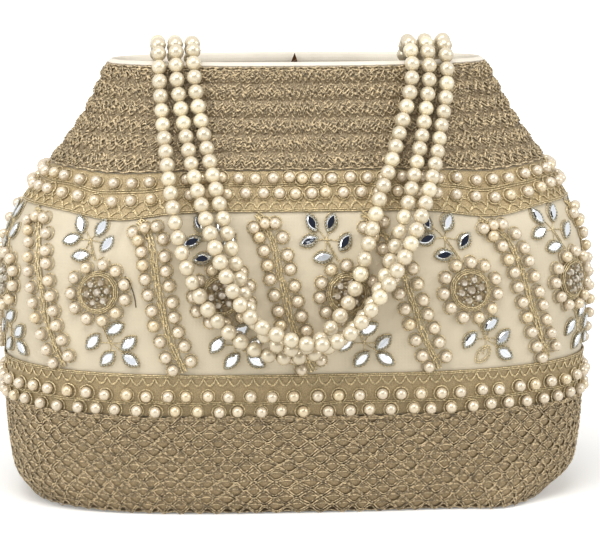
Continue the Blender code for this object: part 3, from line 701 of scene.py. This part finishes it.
def finish(name):
    """The material of this name, made when it is first asked for."""
    if name in bpy.data.materials:
        return bpy.data.materials[name]
    colours = bpy.context.scene.potli_colours
    sizes = bpy.context.scene.potli_sizes
    finishes = {
        "ivory satin": (satin_material, colours.satin, 0.25),
        "cream satin": (satin_material, colours.lining, 0.15),
        "facing satin": (satin_material, shaded(colours.lining, 0.9), 0.15),
        # The top lace's ground is the cords' yarn at 0.6 of its brightness, painted shade for lying below the
        # cords
        "lace yarn": (yarn_material, shaded(colours.lace_cord, 0.6), colours.lace, 0.001, 0.2, 0.5),
        "pad yarn": (pad_material, colours.lace_pad, colours.lace),
        # Both nets are one cloth. The upper net is painted 1.25 times brighter, painted light where the upper
        # border faces the lamp above, and both have painted shade in their gaps
        "lower net": (yarn_material, colours.net, shaded(colours.net, 0.7), 0.0009, 0.1, 0.5),
        "upper net": (
            yarn_material, shaded(colours.net, 1.25), shaded(colours.net, 0.8), 0.0009, 0.1, 0.5,
        ),
        "lace cord": (cord_material, colours.lace_cord, sizes.cord, 0.35, 0.42, 0.34),
        "gold thread": (cord_material, colours.zari, sizes.thread, 0.3, 0.4, 0.6),
        "dark thread": (cord_material, linear("#574A35"), sizes.thread, 0.0, 0.6, 0.34),
        "handle pearl": (pearl_material, colours.handle_pearl, linear("#E9DEC0")),
        "sewn pearl": (pearl_material, colours.sewn_pearl, linear("#D9C7A4")),
        "leaf mirror": (plain_metal, colours.mirror, 0.04),
        "bead setting": (plain_metal, linear("#A9A595"), 0.3),
        "brass plate": (plain_metal, linear("#C9A862"), 0.25),
        # The cut stones carry painted highlights and painted shade in spots, and the stone ground's spots are
        # painted the same way
        "cut stone": (glitter_material, linear("#E6DED0"), linear("#A89A84"), 0.55, 0.12, 0.0016),
        "stone ground": (glitter_material, linear("#9C8A66"), linear("#6B5A3C"), 0.2, 0.35, 0.0012),
        "pressed card": (grained_material, linear("#9A8A6E")),
        "brown leather": (grained_material, colours.patch),
    }
    maker, *values = finishes[name]
    return maker(name, *values)


# Small shapes that repeat, in metres
def pearl_shape(diameter, slot=0):
    """A round bead with few faces."""
    bm = bmesh.new()
    bmesh.ops.create_icosphere(bm, subdivisions=2, radius=diameter / 2)
    return mesh_of(bm, slot=slot)


def ring_shape(diameter, thread, slot=0):
    """A ring of thread that lies flat, made by turning a small circle round."""
    bm = bmesh.new()
    bmesh.ops.create_circle(bm, segments=4, radius=thread / 2)
    bmesh.ops.rotate(bm, matrix=Matrix.Rotation(math.pi / 2, 3, "X"), verts=bm.verts)
    bmesh.ops.translate(bm, vec=(diameter / 2, 0, 0), verts=bm.verts)
    circle = [*bm.verts, *bm.edges]
    bmesh.ops.spin(
        bm, geom=circle, cent=(0, 0, 0), axis=(0, 0, 1), angle=TURN, steps=12, use_merge=True
    )
    bmesh.ops.recalc_face_normals(bm, faces=bm.faces)
    return mesh_of(bm, slot=slot)


def leaf_outline(length, width, count):
    """Places round a pointed leaf."""
    angles = np.arange(count) * TURN / count
    across = np.sin(angles) * abs(np.sin(angles)) ** 0.7
    return np.stack([length / 2 * np.cos(angles), width / 2 * across], 1)


def leaf_mirror_shape(length, width, slot):
    """A flat leaf of mirror glass with a bevelled edge."""
    bm = bmesh.new()
    bmesh.ops.create_circle(bm, cap_ends=True, segments=14, radius=1)
    for vertex in bm.verts:
        x, y = vertex.co.xy
        vertex.co = (x * length / 2, y * abs(y) ** 0.7 * width / 2, 0)
    face = list(bm.faces)[0]
    if face.normal.z < 0:
        face.normal_flip()
    raised = bmesh.ops.extrude_face_region(bm, geom=[face])["geom"]
    top = [part for part in raised if isinstance(part, bmesh.types.BMVert)]
    bmesh.ops.translate(bm, vec=(0, 0, 0.0007), verts=top)
    table = [part for part in raised if isinstance(part, bmesh.types.BMFace)]
    bmesh.ops.inset_region(bm, faces=table, thickness=0.0004, depth=0.0003)
    bmesh.ops.recalc_face_normals(bm, faces=bm.faces)
    return mesh_of(bm, smooth=False, slot=slot)


def leaf_setting_shape(length, width, slot):
    """Small beads round a leaf mirror."""
    bm = bmesh.new()
    for x, y in leaf_outline(length + 0.0008, width + 0.0011, 18):
        place = Matrix.Translation((x, y, 0.0006))
        bmesh.ops.create_icosphere(bm, subdivisions=1, radius=0.0005, matrix=place)
    return mesh_of(bm, slot=slot)


def stone_shape(diameter, slot):
    """A round stone with a crown of facets and a flat table."""
    bm = bmesh.new()
    bmesh.ops.create_cone(
        bm, cap_ends=True, segments=8, radius1=diameter / 2, radius2=diameter / 3.2, depth=diameter / 3
    )
    return mesh_of(bm, smooth=False, slot=slot)


def sew_pearls(bm, pearl, ring, x, z):
    """Seats a pearl and its ring of thread at each place on the satin."""
    radius = bpy.context.scene.potli_sizes.sewn_pearl / 2 / MM
    stamp(bm, pearl, seats(x, z, PEARL_SEAT * radius))
    stamp(bm, ring, seats(x, z, GROUND_OUT))


# Runs of cord and thread
def smooth_run(points, count):
    """Even places on a smooth curve through some points."""
    points = np.array(points, float)
    padded = np.concatenate([[2 * points[0] - points[1]], points, [2 * points[-1] - points[-2]]])
    fine = []
    for before, start, end, after in zip(padded, padded[1:], padded[2:], padded[3:]):
        for u in np.linspace(0, 1, 12, endpoint=False):
            third = u * (3 * start - before - 3 * end + after)
            second = u * (2 * before - 5 * start + 4 * end - after + third)
            fine.append(start + 0.5 * u * (end - before + second))
    fine = np.array([*fine, points[-1]])
    lengths = distances(fine)
    along = np.linspace(0, lengths[-1], count)
    return np.stack([np.interp(along, lengths, axis) for axis in fine.T], 1)


def smooth_thread(points, out, count):
    """A flat run on a smooth curve through (x, z) points."""
    return flat_run(*smooth_run(points, count).T, out)


def round_places(step=1.2):
    """Places all round the bag, about a step apart."""
    return np.linspace(-GIRTH / 2, GIRTH / 2, round(GIRTH / step) + 1)


def zigzag(phase, sharpness):
    """A rounded zigzag between -1 and 1."""
    return np.arcsin(sharpness * np.sin(TURN * phase)) / math.asin(sharpness)


# Stage
def staged(name, bm, material, place=(0, 0, 0)):
    """Adds a mesh that isn't part of the bag."""
    obj = bpy.data.objects.new(name, mesh_of(bm))
    obj.location = place
    obj.data.materials.append(material)
    bpy.context.scene.collection.objects.link(obj)
    return obj


def stand(obj, place, aim):
    """Stands a lamp or the camera at a place, and turns it towards another."""
    obj.location = place
    obj.rotation_euler = (Vector(aim) - Vector(place)).to_track_quat("-Z", "Y").to_euler()
    bpy.context.scene.collection.objects.link(obj)


def floor_material():
    # Pale seamless paper: near the bag it keeps its shadow, further off it is plain white to the camera
    material = new_material(
        "pale floor", Base_Color=(*linear("#F4F3F0"), 1), Roughness=0.9, Emission_Color=(1, 1, 1, 1)
    )
    camera_ray = add_node(material, "ShaderNodeLightPath").outputs["Is Camera Ray"]
    place = add_node(material, "ShaderNodeTexCoord").outputs["Object"]
    far = add_node(material, "ShaderNodeVectorMath", {0: place}, operation="LENGTH").outputs["Value"]
    glow = add_node(
        material,
        "ShaderNodeMapRange",
        {"Value": far, "From Min": 0.2, "From Max": 0.7, "To Min": 0.22, "To Max": 1.0},
    ).outputs["Result"]
    lift = add_node(material, "ShaderNodeMath", {0: camera_ray, 1: glow}, operation="MULTIPLY")
    link(material, lift.outputs["Value"], "Emission Strength")
    return material


def studio_world():
    """A white room, dimmer as a light than it looks to the camera and in reflections."""
    world = bpy.data.worlds.new("studio")
    world.use_nodes = True
    rays = add_node(world, "ShaderNodeLightPath").outputs
    seen = {0: rays["Is Camera Ray"], 1: rays["Is Glossy Ray"]}
    shown = add_node(world, "ShaderNodeMath", seen, operation="MAXIMUM").outputs["Value"]
    strength = add_node(world, "ShaderNodeMapRange", {"Value": shown, "To Min": 0.55, "To Max": 1.0})
    background = world.node_tree.nodes["Background"]
    background.inputs["Color"].default_value = (1, 1, 1, 1)
    world.node_tree.links.new(strength.outputs["Result"], background.inputs["Strength"])
    return world


class POTLI_OT_stage(bpy.types.Operator):
    """Adds the pale floor, the dark wall, the soft lamps and the camera"""

    bl_idname = "potli.stage"
    bl_label = "Stage"

    def execute(self, context):
        scene = context.scene
        scene.view_settings.view_transform = "Standard"
        bm = bmesh.new()
        bmesh.ops.create_grid(bm, x_segments=1, y_segments=1, size=4)
        staged("floor", bm, floor_material())
        scene.world = studio_world()

        # A dark wall behind the camera, seen only in reflections, gives mirrors and pearls their dark
        bm = bmesh.new()
        bmesh.ops.create_grid(bm, x_segments=1, y_segments=1, size=1)
        bmesh.ops.scale(bm, vec=WALL_SIZE, verts=bm.verts)
        bmesh.ops.rotate(bm, matrix=Matrix.Rotation(-math.pi / 2, 3, "X"), verts=bm.verts)
        dark = new_material(
            "dark wall", Base_Color=(0, 0, 0, 1), Roughness=1,
            Emission_Color=(*linear("#262A36"), 1), Emission_Strength=1.0,
        )
        wall = staged("dark wall", bm, dark, WALL_PLACE)
        wall.visible_diffuse = False
        wall.visible_shadow = False

        for name, (place, size, power) in LAMPS.items():
            light = bpy.data.lights.new(name, "AREA")
            light.shape = "DISK"
            light.size = size
            light.energy = power
            stand(bpy.data.objects.new(name, light), place, LAMP_AIM)

        camera = bpy.data.objects.new("camera", bpy.data.cameras.new("camera"))
        camera.data.lens = CAMERA_LENS
        aside = CAMERA_AIM[0] + CAMERA_REACH * math.sin(CAMERA_AZIMUTH)
        stand(camera, (aside, -CAMERA_REACH * math.cos(CAMERA_AZIMUTH), CAMERA_HEIGHT), CAMERA_AIM)
        scene.camera = camera
        return {"FINISHED"}


# Handle
class POTLI_OT_strands(bpy.types.Operator):
    """Strings the handle's three strands of pearls"""

    bl_idname = "potli.strands"
    bl_label = "Handle strands"

    def execute(self, context):
        sizes = context.scene.potli_sizes
        bead = bmesh.new()
        bmesh.ops.create_uvsphere(bead, u_segments=12, v_segments=8, radius=sizes.handle_pearl / 2)
        pearl = mesh_of(bead)
        random = np.random.default_rng(5)
        for number, (route, length) in enumerate(zip(STRANDS, STRAND_LENGTHS), 1):
            path = np.array(route) * MM
            fine = smooth_run(path, 600)
            along = distances(fine)
            count = int(along[-1] / sizes.pearl_pitch)
            places = (np.arange(count) + 0.5) * along[-1] / count
            bm = bmesh.new()
            for place in places:
                point = Vector([np.interp(place, along, axis) for axis in fine.T])
                ahead = Vector([np.interp(place + MM, along, axis) for axis in fine.T])
                turn = (ahead - point).to_track_quat("Z", "Y").to_matrix().to_4x4()
                size = 1 + random.uniform(-0.025, 0.025)
                stamp(bm, pearl, [Matrix.Translation(point) @ turn @ Matrix.Scale(size, 4)])
            strand = piece(
                f"pearl_strand_{number}", bm, [finish("handle pearl")],
                [f"handle_strand_{number}"],
            )
        return {"FINISHED"}


# Cloth
def thicken(obj, thickness, offset=-1):
    """Gives a cloth its thickness in mm, inwards, or outwards with an offset of 1."""
    wall = obj.modifiers.new("wall", "SOLIDIFY")
    wall.thickness = thickness * MM
    wall.offset = offset


def gathers(x, z):
    """How far out the lining lies: it is gathered below the shoulder."""
    return LINING_OUT - GATHER_DEPTH * (1 + round_wave(GATHERS, x)) * ramp(-z, -GATHER_Z, GATHER_REACH)


def flare(x, z):
    """How far out the facing lies: its top edge opens."""
    return FACING_OUT + FACING_FLARE * ramp(z, FLARE_Z, FACING_TOP - FLARE_Z) ** 1.5


class POTLI_OT_body(bpy.types.Operator):
    """Makes the satin body, its lining and the facing at the rim"""

    bl_idname = "potli.body"
    bl_label = "Body, lining and rim"

    def execute(self, context):
        body = closed(flat_cloth(420, 96, BODY_BOTTOM, BODY_TOP, lambda x, z: 0.0), ["bottom"])
        satin = piece("satin_body", body, [finish("ivory satin")], ["outer_body"])
        thicken(satin, BODY_WALL)

        inside = closed(flat_cloth(300, 40, LINING_BOTTOM, LINING_TOP, gathers), ["bottom"])
        lining = piece("lining_cloth", inside, [finish("cream satin")], ["lining"])
        thicken(lining, LINING_WALL)

        facing = closed(flat_cloth(240, 12, FACING_BOTTOM, FACING_TOP, flare))
        rim = piece("rim_facing_cloth", facing, [finish("facing satin")], ["rim_facing"])
        thicken(rim, -(FACING_OUT + FACING_GAP), offset=1)
        edge = rim.modifiers.new("edge", "BEVEL")
        edge.width = FACING_ROUND * MM
        edge.segments = 3
        return {"FINISHED"}


# Lace
class POTLI_OT_base_lace(bpy.types.Operator):
    """Makes the base band: brick rows of scales between zigzag cords"""

    bl_idname = "potli.base_lace"
    bl_label = "Base lace"

    def execute(self, context):
        sizes = context.scene.potli_sizes
        scales = round(GIRTH * MM / sizes.scale_width)
        width = GIRTH / scales
        rows = [FIRST_ROW + SCALE_PITCH * i for i in range(SCALE_ROWS)]

        def pads(x, z):
            relief = np.zeros_like(x)
            for i, low in enumerate(rows):
                across = ((x / width + 0.5 * (i % 2) - 0.25) % 1.0 - 0.5) * width
                up = z - low - SCALE_PITCH / 2
                away = (across / SCALE_HALF_WIDTH) ** 2 + (up / SCALE_HALF_HEIGHT) ** 2
                relief = np.maximum(relief, np.clip(1 - away, 0, 1) ** 0.5)
            return GROUND_OUT + SCALE_RELIEF * relief

        ground = closed(flat_cloth(scales * 8, 60, BASE_LACE_BOTTOM, BASE_LACE_TOP, pads))
        piece("base_lace_ground", ground, [finish("pad yarn")], ["base_lace_band"])

        # Each row has two zigzag cords, which drift a little, and an arc nested in each scale
        runs = []
        x = round_places(0.97)
        for i, level in enumerate(rows):
            place = x / width + 0.5 * (i % 2)
            drift = 0.5 * round_wave(9 + i, x, i) + 0.4 * round_wave(31 - i, x)
            wave = zigzag(place + drift / width, 0.75)
            for side in (-0.5, 0.5):
                height = level + side * (1 + 0.5 * drift) + (1.4 + 0.25 * drift) * wave + 0.15 * drift
                runs.append(flat_run(x, height, 1.85 + 0.35 * np.cos(2 * TURN * x / width)))
            arch = abs(np.cos(math.pi * (place - 0.75)))
            runs.append(flat_run(x, level + 0.7 + 1.8 * arch**0.7, 1.15 + 0.95 * arch))
        x = round_places()
        runs += [flat_run(x, BASE_LACE_TOP - below, 1.7) for below in (0.5, 1.2)]
        runs.append(flat_run(x, 1.0 + 0.3 * round_wave(90, x), 1.5))
        piece("base_lace_cords", threads(runs, sizes.cord * 0.8), [finish("lace cord")])
        return {"FINISHED"}


class POTLI_OT_top_lace(bpy.types.Operator):
    """Makes the top band: six strips of crossed cords, seamed to each other"""

    bl_idname = "potli.top_lace"
    bl_label = "Top lace"

    def execute(self, context):
        pitch = (TOP_LACE_TOP - TOP_LACE_BOTTOM) / STRIPS

        def ridges(x, z):
            share = ((z - TOP_LACE_BOTTOM) / pitch) % 1.0
            return GROUND_OUT + STRIP_RELIEF * np.sin(math.pi * share) ** 0.5

        ground = closed(flat_cloth(420, 60, TOP_LACE_BOTTOM, TOP_LACE_TOP, ridges))
        piece("top_lace_ground", ground, [finish("lace yarn")], ["top_lace_band"])

        # Neighbouring cords of a strip have other numbers of waves, so that they cross
        runs = []
        x = round_places(1.12)
        for i in range(STRIPS):
            middle = TOP_LACE_BOTTOM + pitch * (i + 0.5)
            cells = round(GIRTH * level_scale(middle) / CORD_WAVE)
            for number in range(STRIP_CORDS):
                beside = number - STRIP_CORDS // 2
                waves = (cells + 5 * (number % 3)) * x / GIRTH
                drift = 0.25 * round_wave(7 + i, x, 2 * i + 3 * number)
                uneven = 1 + 0.35 * round_wave(41 + 6 * i, x, 2 * number)
                wave = 1.05 * uneven * zigzag(waves + 0.37 * number + drift, 0.85)
                height = middle + CORD_SPACING * beside + wave
                height = np.clip(height, TOP_LACE_BOTTOM + 0.4, TOP_LACE_TOP - 0.5)
                out = 1.9 - 0.1 * beside**2 + 0.3 * round_wave(83, x, 2.4 * i)
                runs.append(flat_run(x, height, out + 0.4 * np.sin(2 * TURN * (waves + 0.6 * number))))
        x = round_places()
        for level in (TOP_LACE_BOTTOM + 0.4, TOP_LACE_TOP - 1.6, TOP_LACE_TOP - 0.5):
            runs.append(flat_run(x, level + 0.2 * round_wave(75, x), 1.6))
        cords = threads(runs, context.scene.potli_sizes.cord)
        piece("top_lace_cords", cords, [finish("lace cord")])
        return {"FINISHED"}


# Beadwork
class POTLI_OT_borders(bpy.types.Operator):
    """Makes the two borders: net, couched threads, loops and rows of ringed pearls"""

    bl_idname = "potli.borders"
    bl_label = "Beaded borders"

    def execute(self, context):
        sizes = context.scene.potli_sizes
        random = np.random.default_rng(11)
        pearl = pearl_shape(sizes.sewn_pearl)
        wider, thread = BORDER_RING
        ring = ring_shape(sizes.sewn_pearl + wider, thread)
        seat = GROUND_OUT + BORDER_PEARL_SEAT * sizes.sewn_pearl / 2 / MM
        count = sizes.border_pearls
        for name, border in (("lower", LOWER_BORDER), ("upper", UPPER_BORDER)):
            low, high = sorted((border["lace"], border["satin"]))
            side = border["side"]
            # The upper net's finish is the lower net's painted brighter, as painted light
            ground = closed(flat_cloth(360, 18, low, high, lambda x, z: GROUND_OUT))
            piece(f"{name}_net", ground, [finish(f"{name} net")], [f"{name}_border"])

            beads, rings = bmesh.new(), bmesh.new()
            for row, level in enumerate(border["pearls"]):
                x = (np.arange(count) + 0.5 * row) * GIRTH / count + random.uniform(-0.7, 0.7, count)
                z = level + random.uniform(-0.35, 0.35, count)
                stamp(beads, pearl, seats(x, z, seat))
                loose = [Matrix.Scale(random.uniform(0.88, 1.08), 4) for _ in x]
                x = x + random.uniform(-0.3, 0.3, count)
                places = seats(x, z - 0.2, random.uniform(0.9, 1.6, count))
                stamp(rings, ring, [place @ scale for place, scale in zip(places, loose)])
            piece(f"{name}_pearls", beads, [finish("sewn pearl")])

            # Double loops go from the satin edge towards the lace, in two layers on the upper border
            runs = []
            x = round_places(0.5)
            loops = round(GIRTH / border["loop_width"])
            for shift, start in border["layers"]:
                arch = abs(np.sin(math.pi * (loops * x / GIRTH + shift))) ** 0.65
                height = border["satin"] + side * (0.7 + start + border["loop_depth"] * arch)
                runs.append(flat_run(x, height, 0.95))
                runs.append(flat_run(x, height + side * 0.45, 0.9))

            # Two straight threads lie along the satin edge, and two between the rows of pearls
            x = round_places()
            edge = border["satin"] + side * 0.4
            for i in (0.0, 0.7):
                runs.append(flat_run(x, edge + side * i + 0.08 * round_wave(120, x, i), 1.0))
            for i in (-0.35, 0.35):
                runs.append(flat_run(x, border["line"] + i + 0.25 * round_wave(23, x, 9 * i), 0.95))
            add_mesh(rings, threads(runs, sizes.thread))
            piece(f"{name}_threads", rings, [finish("gold thread")])
        return {"FINISHED"}


MOTIF_FINISHES = ("gold thread", "sewn pearl", "cut stone", "stone ground", "leaf mirror", "bead setting")
THREAD, PEARL, STONE, GROUND, MIRROR, SETTING = range(6)


def motif_centre(motif):
    """The middle of a medallion: across and up, in mm."""
    return np.array([GIRTH * (motif + 0.5 + PATTERN_SHIFT) / MOTIFS, MOTIF_Z])


def ring_places(centre, radius, count, turn=0.0):
    """Places on a ring, the first of them turned from the top by this share of a step."""
    angles = TURN * (np.arange(count) + turn) / count
    return centre[0] + radius * np.sin(angles), centre[1] + radius * np.cos(angles)


class POTLI_OT_motifs(bpy.types.Operator):
    """Makes the medallions with their sprigs of leaf mirrors"""

    bl_idname = "potli.motifs"
    bl_label = "Medallions and sprigs"

    def execute(self, context):
        random = np.random.default_rng(23)
        for motif in range(MOTIFS):
            bm = bmesh.new()
            self.medallion(bm, motif, random)
            self.sprigs(bm, motif, random)
            name = f"motif_{motif + 1:02d}"
            materials = [finish(kind) for kind in MOTIF_FINISHES]
            piece(f"{name}_beadwork", bm, materials, [name])

        # A thin dark thread lies on the satin beside a medallion
        route = motif_centre(DARK_THREAD_MOTIF) + DARK_THREAD_LINE
        dark_line = threads([smooth_thread(route, 0.35, 16)], 0.0004)
        piece("dark_thread_line", dark_line, [finish("dark thread")])
        return {"FINISHED"}

    def medallion(self, bm, motif, random):
        """Adds the ground, its stones with small grains between, rings of thread and pearls."""
        sizes = bpy.context.scene.potli_sizes
        centre = motif_centre(motif)
        for radius in GROUND_RINGS:
            places = ring_places(centre, radius, max(8, round(radius * 5)))
            ground = [flat_run(*places, 1.4 - radius * 0.06)]
            add_mesh(bm, threads(ground, 0.0021, sides=6, ring=True), GROUND)
        stamp(bm, stone_shape(BIG_STONE, STONE), seats(*centre, BIG_STONE_OUT))
        radius, count, turn, out = SMALL_STONE_RING
        stones = seats(*ring_places(centre, radius, count, turn), out)
        stamp(bm, stone_shape(SMALL_STONE, STONE), stones)
        for radius, count, turn, out in GRAIN_RINGS:
            grains = seats(*ring_places(centre, radius, count, turn), out)
            stamp(bm, pearl_shape(GRAIN, SETTING), grains)
        angles = np.linspace(0, TURN, 44, endpoint=False)
        for radius, out in THREAD_RINGS:
            uneven = radius + 0.12 * np.sin(11 * angles + radius)
            ring = [flat_run(*ring_places(centre, uneven, len(angles)), out)]
            add_mesh(bm, threads(ring, sizes.thread * 1.3, ring=True), THREAD)
        x, z = ring_places(centre, PEARL_RING, RING_PEARLS, 0.1 * (motif % 3))
        x = x + random.uniform(-0.4, 0.4, RING_PEARLS)
        z = z + random.uniform(-0.4, 0.4, RING_PEARLS)
        pearl = pearl_shape(sizes.sewn_pearl, PEARL)
        wider, thread = SATIN_RING
        sew_pearls(bm, pearl, ring_shape(sizes.sewn_pearl + wider, thread, THREAD), x, z)

    def sprigs(self, bm, motif, random):
        """Adds the two sprigs: double stalks, a stalk to each leaf, and the leaves in their settings."""
        sizes = bpy.context.scene.potli_sizes
        centre = motif_centre(motif)
        mirror = leaf_mirror_shape(LEAF_LENGTH, LEAF_WIDTH, MIRROR)
        setting = leaf_setting_shape(LEAF_LENGTH, LEAF_WIDTH, SETTING)
        stalks, rims = [], []
        for leaves, fork, root in SPRIGS:
            for beside in (-0.35, 0.35):
                ends = (centre + root + (beside, 0), centre + fork + (beside, 0))
                stalks.append(smooth_thread(ends, 0.4, 8))
            for number, (across, up, tilt) in enumerate(leaves):
                leaf = centre + (across, up)
                bend = (centre + fork + leaf) / 2 + (0.5, 0)
                stalks.append(smooth_thread([centre + fork, bend, leaf], 0.4, 10))
                turn = Matrix.Rotation(math.radians(tilt), 4, "Z")
                lost = leaves is LOWER_LEAVES and (motif, number) == LOST_MIRROR
                sizes_here = (LEAF_RIM, LOST_RIM) if lost else (LEAF_RIM,)
                for length, width in sizes_here:
                    rim = leaf_outline(length, width, 22) @ np.array(turn)[:2, :2].T + leaf
                    rims.append(flat_run(*rim.T, 0.4))
                if lost:
                    continue
                seat = seats(*leaf, 0.7)[0]
                for axis, most in LEAF_TIPS:
                    seat = seat @ Matrix.Rotation(random.uniform(-most, most), 4, axis)
                stamp(bm, mirror, [seat @ turn])
                stamp(bm, setting, [seat @ turn])
        add_mesh(bm, threads(stalks, sizes.thread), THREAD)
        add_mesh(bm, threads(rims, sizes.thread, ring=True), THREAD)


class POTLI_OT_stems(bpy.types.Operator):
    """Makes the winding stems: a band of threads with ringed pearls on both sides"""

    bl_idname = "potli.stems"
    bl_label = "Beaded stems"

    def execute(self, context):
        sizes = context.scene.potli_sizes
        random = np.random.default_rng(31)
        pearl = pearl_shape(sizes.sewn_pearl, PEARL)
        wider, thread = SATIN_RING
        ring = ring_shape(sizes.sewn_pearl + wider, thread, THREAD)
        for motif in range(MOTIFS):
            places = smooth_run(motif_centre(motif) + STEM_ROUTE, 90)
            height = places[:, 1] - MOTIF_Z
            places = places[(height < STEM_UP) & (height > -STEM_DOWN)]
            along = np.gradient(places, axis=0)
            along /= np.linalg.norm(along, axis=1)[:, None]
            aside = np.stack([along[:, 1], -along[:, 0]], 1)
            bm = bmesh.new()
            cords = []
            steps = np.arange(len(places))
            for offset in STEM_THREADS:
                wave = 0.22 * np.sin(0.9 * steps + 4 * offset)
                drift = 0.3 * np.sin(0.31 * steps + motif + 7 * offset)
                cord = places + aside * (offset + wave + drift)[:, None]
                cords.append(flat_run(*cord.T, STEM_OUT))
            add_mesh(bm, threads(cords, sizes.thread * 1.4), THREAD)
            for side in (-1, 1):
                picks = np.linspace(3 + side, len(places) - 4 + side, STEM_PEARLS).astype(int)
                x, z = (places[picks] + side * STEM_PEARL_SIDE * aside[picks]).T
                x = x + random.uniform(-0.3, 0.3, STEM_PEARLS)
                z = z + random.uniform(-0.3, 0.3, STEM_PEARLS)
                sew_pearls(bm, pearl, ring, x, np.clip(z, STEM_PEARLS_LOW, STEM_PEARLS_HIGH))
            name = f"stem_{motif + 1:02d}"
            materials = [finish(kind) for kind in MOTIF_FINISHES[: PEARL + 1]]
            piece(f"{name}_beadwork", bm, materials, [name])
        return {"FINISHED"}


# Fittings
NODE_FINISHES = {
    "base_board": "pressed card",
    "handle_anchor_left": "cream satin",
    "handle_anchor_right": "cream satin",
    "snap_patch_front": "brown leather",
    "snap_patch_back": "brown leather",
    "snap_socket": "brass plate",
    "snap_stud": "brass plate",
}


class POTLI_OT_fittings(bpy.types.Operator):
    """Finishes the tabs, the snap and its patches, and the base board"""

    bl_idname = "potli.fittings"
    bl_label = "Tabs, snap and board"

    def execute(self, context):
        for name, kind in NODE_FINISHES.items():
            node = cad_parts[name]
            node.data.materials.clear()
            node.data.materials.append(finish(kind))

        # The back patch ends in a pointed tip at the rim
        bm = bmesh.new()
        bmesh.ops.create_cone(
            bm, cap_ends=True, segments=3, radius1=0.0022, radius2=0.0019, depth=0.0008,
            matrix=Matrix.Diagonal((0.8, 1.4, 1, 1)),
        )
        bm.transform(seats(GIRTH / 2 - PATCH_TIP_X, PATCH_TIP_Z, FACING_OUT - 0.5)[0])
        piece("patch_tip", bm, [finish("brown leather")])
        return {"FINISHED"}


class POTLI_PT_panel(bpy.types.Panel):
    """Lists the bag's pieces"""

    bl_idname = "POTLI_PT_panel"
    bl_label = "Potli bag"
    bl_space_type = "VIEW_3D"
    bl_region_type = "UI"
    bl_category = "Potli bag"

    def draw(self, context):
        for operator in OPERATORS:
            self.layout.operator(operator.bl_idname)


OPERATORS = (
    POTLI_OT_stage, POTLI_OT_strands, POTLI_OT_body, POTLI_OT_base_lace, POTLI_OT_top_lace,
    POTLI_OT_borders, POTLI_OT_motifs, POTLI_OT_stems, POTLI_OT_fittings,
)
CLASSES = (PotliColours, PotliSizes, *OPERATORS, POTLI_PT_panel)


def register():
    for made in CLASSES:
        bpy.utils.register_class(made)
    bpy.types.Scene.potli_colours = PointerProperty(type=PotliColours)
    bpy.types.Scene.potli_sizes = PointerProperty(type=PotliSizes)


def unregister():
    del bpy.types.Scene.potli_sizes
    del bpy.types.Scene.potli_colours
    for made in reversed(CLASSES):
        bpy.utils.unregister_class(made)


def main():
    register()
    for operator in OPERATORS:
        group, name = operator.bl_idname.split(".")
        getattr(getattr(bpy.ops, group), name)()


if __name__ == "__main__":
    main()
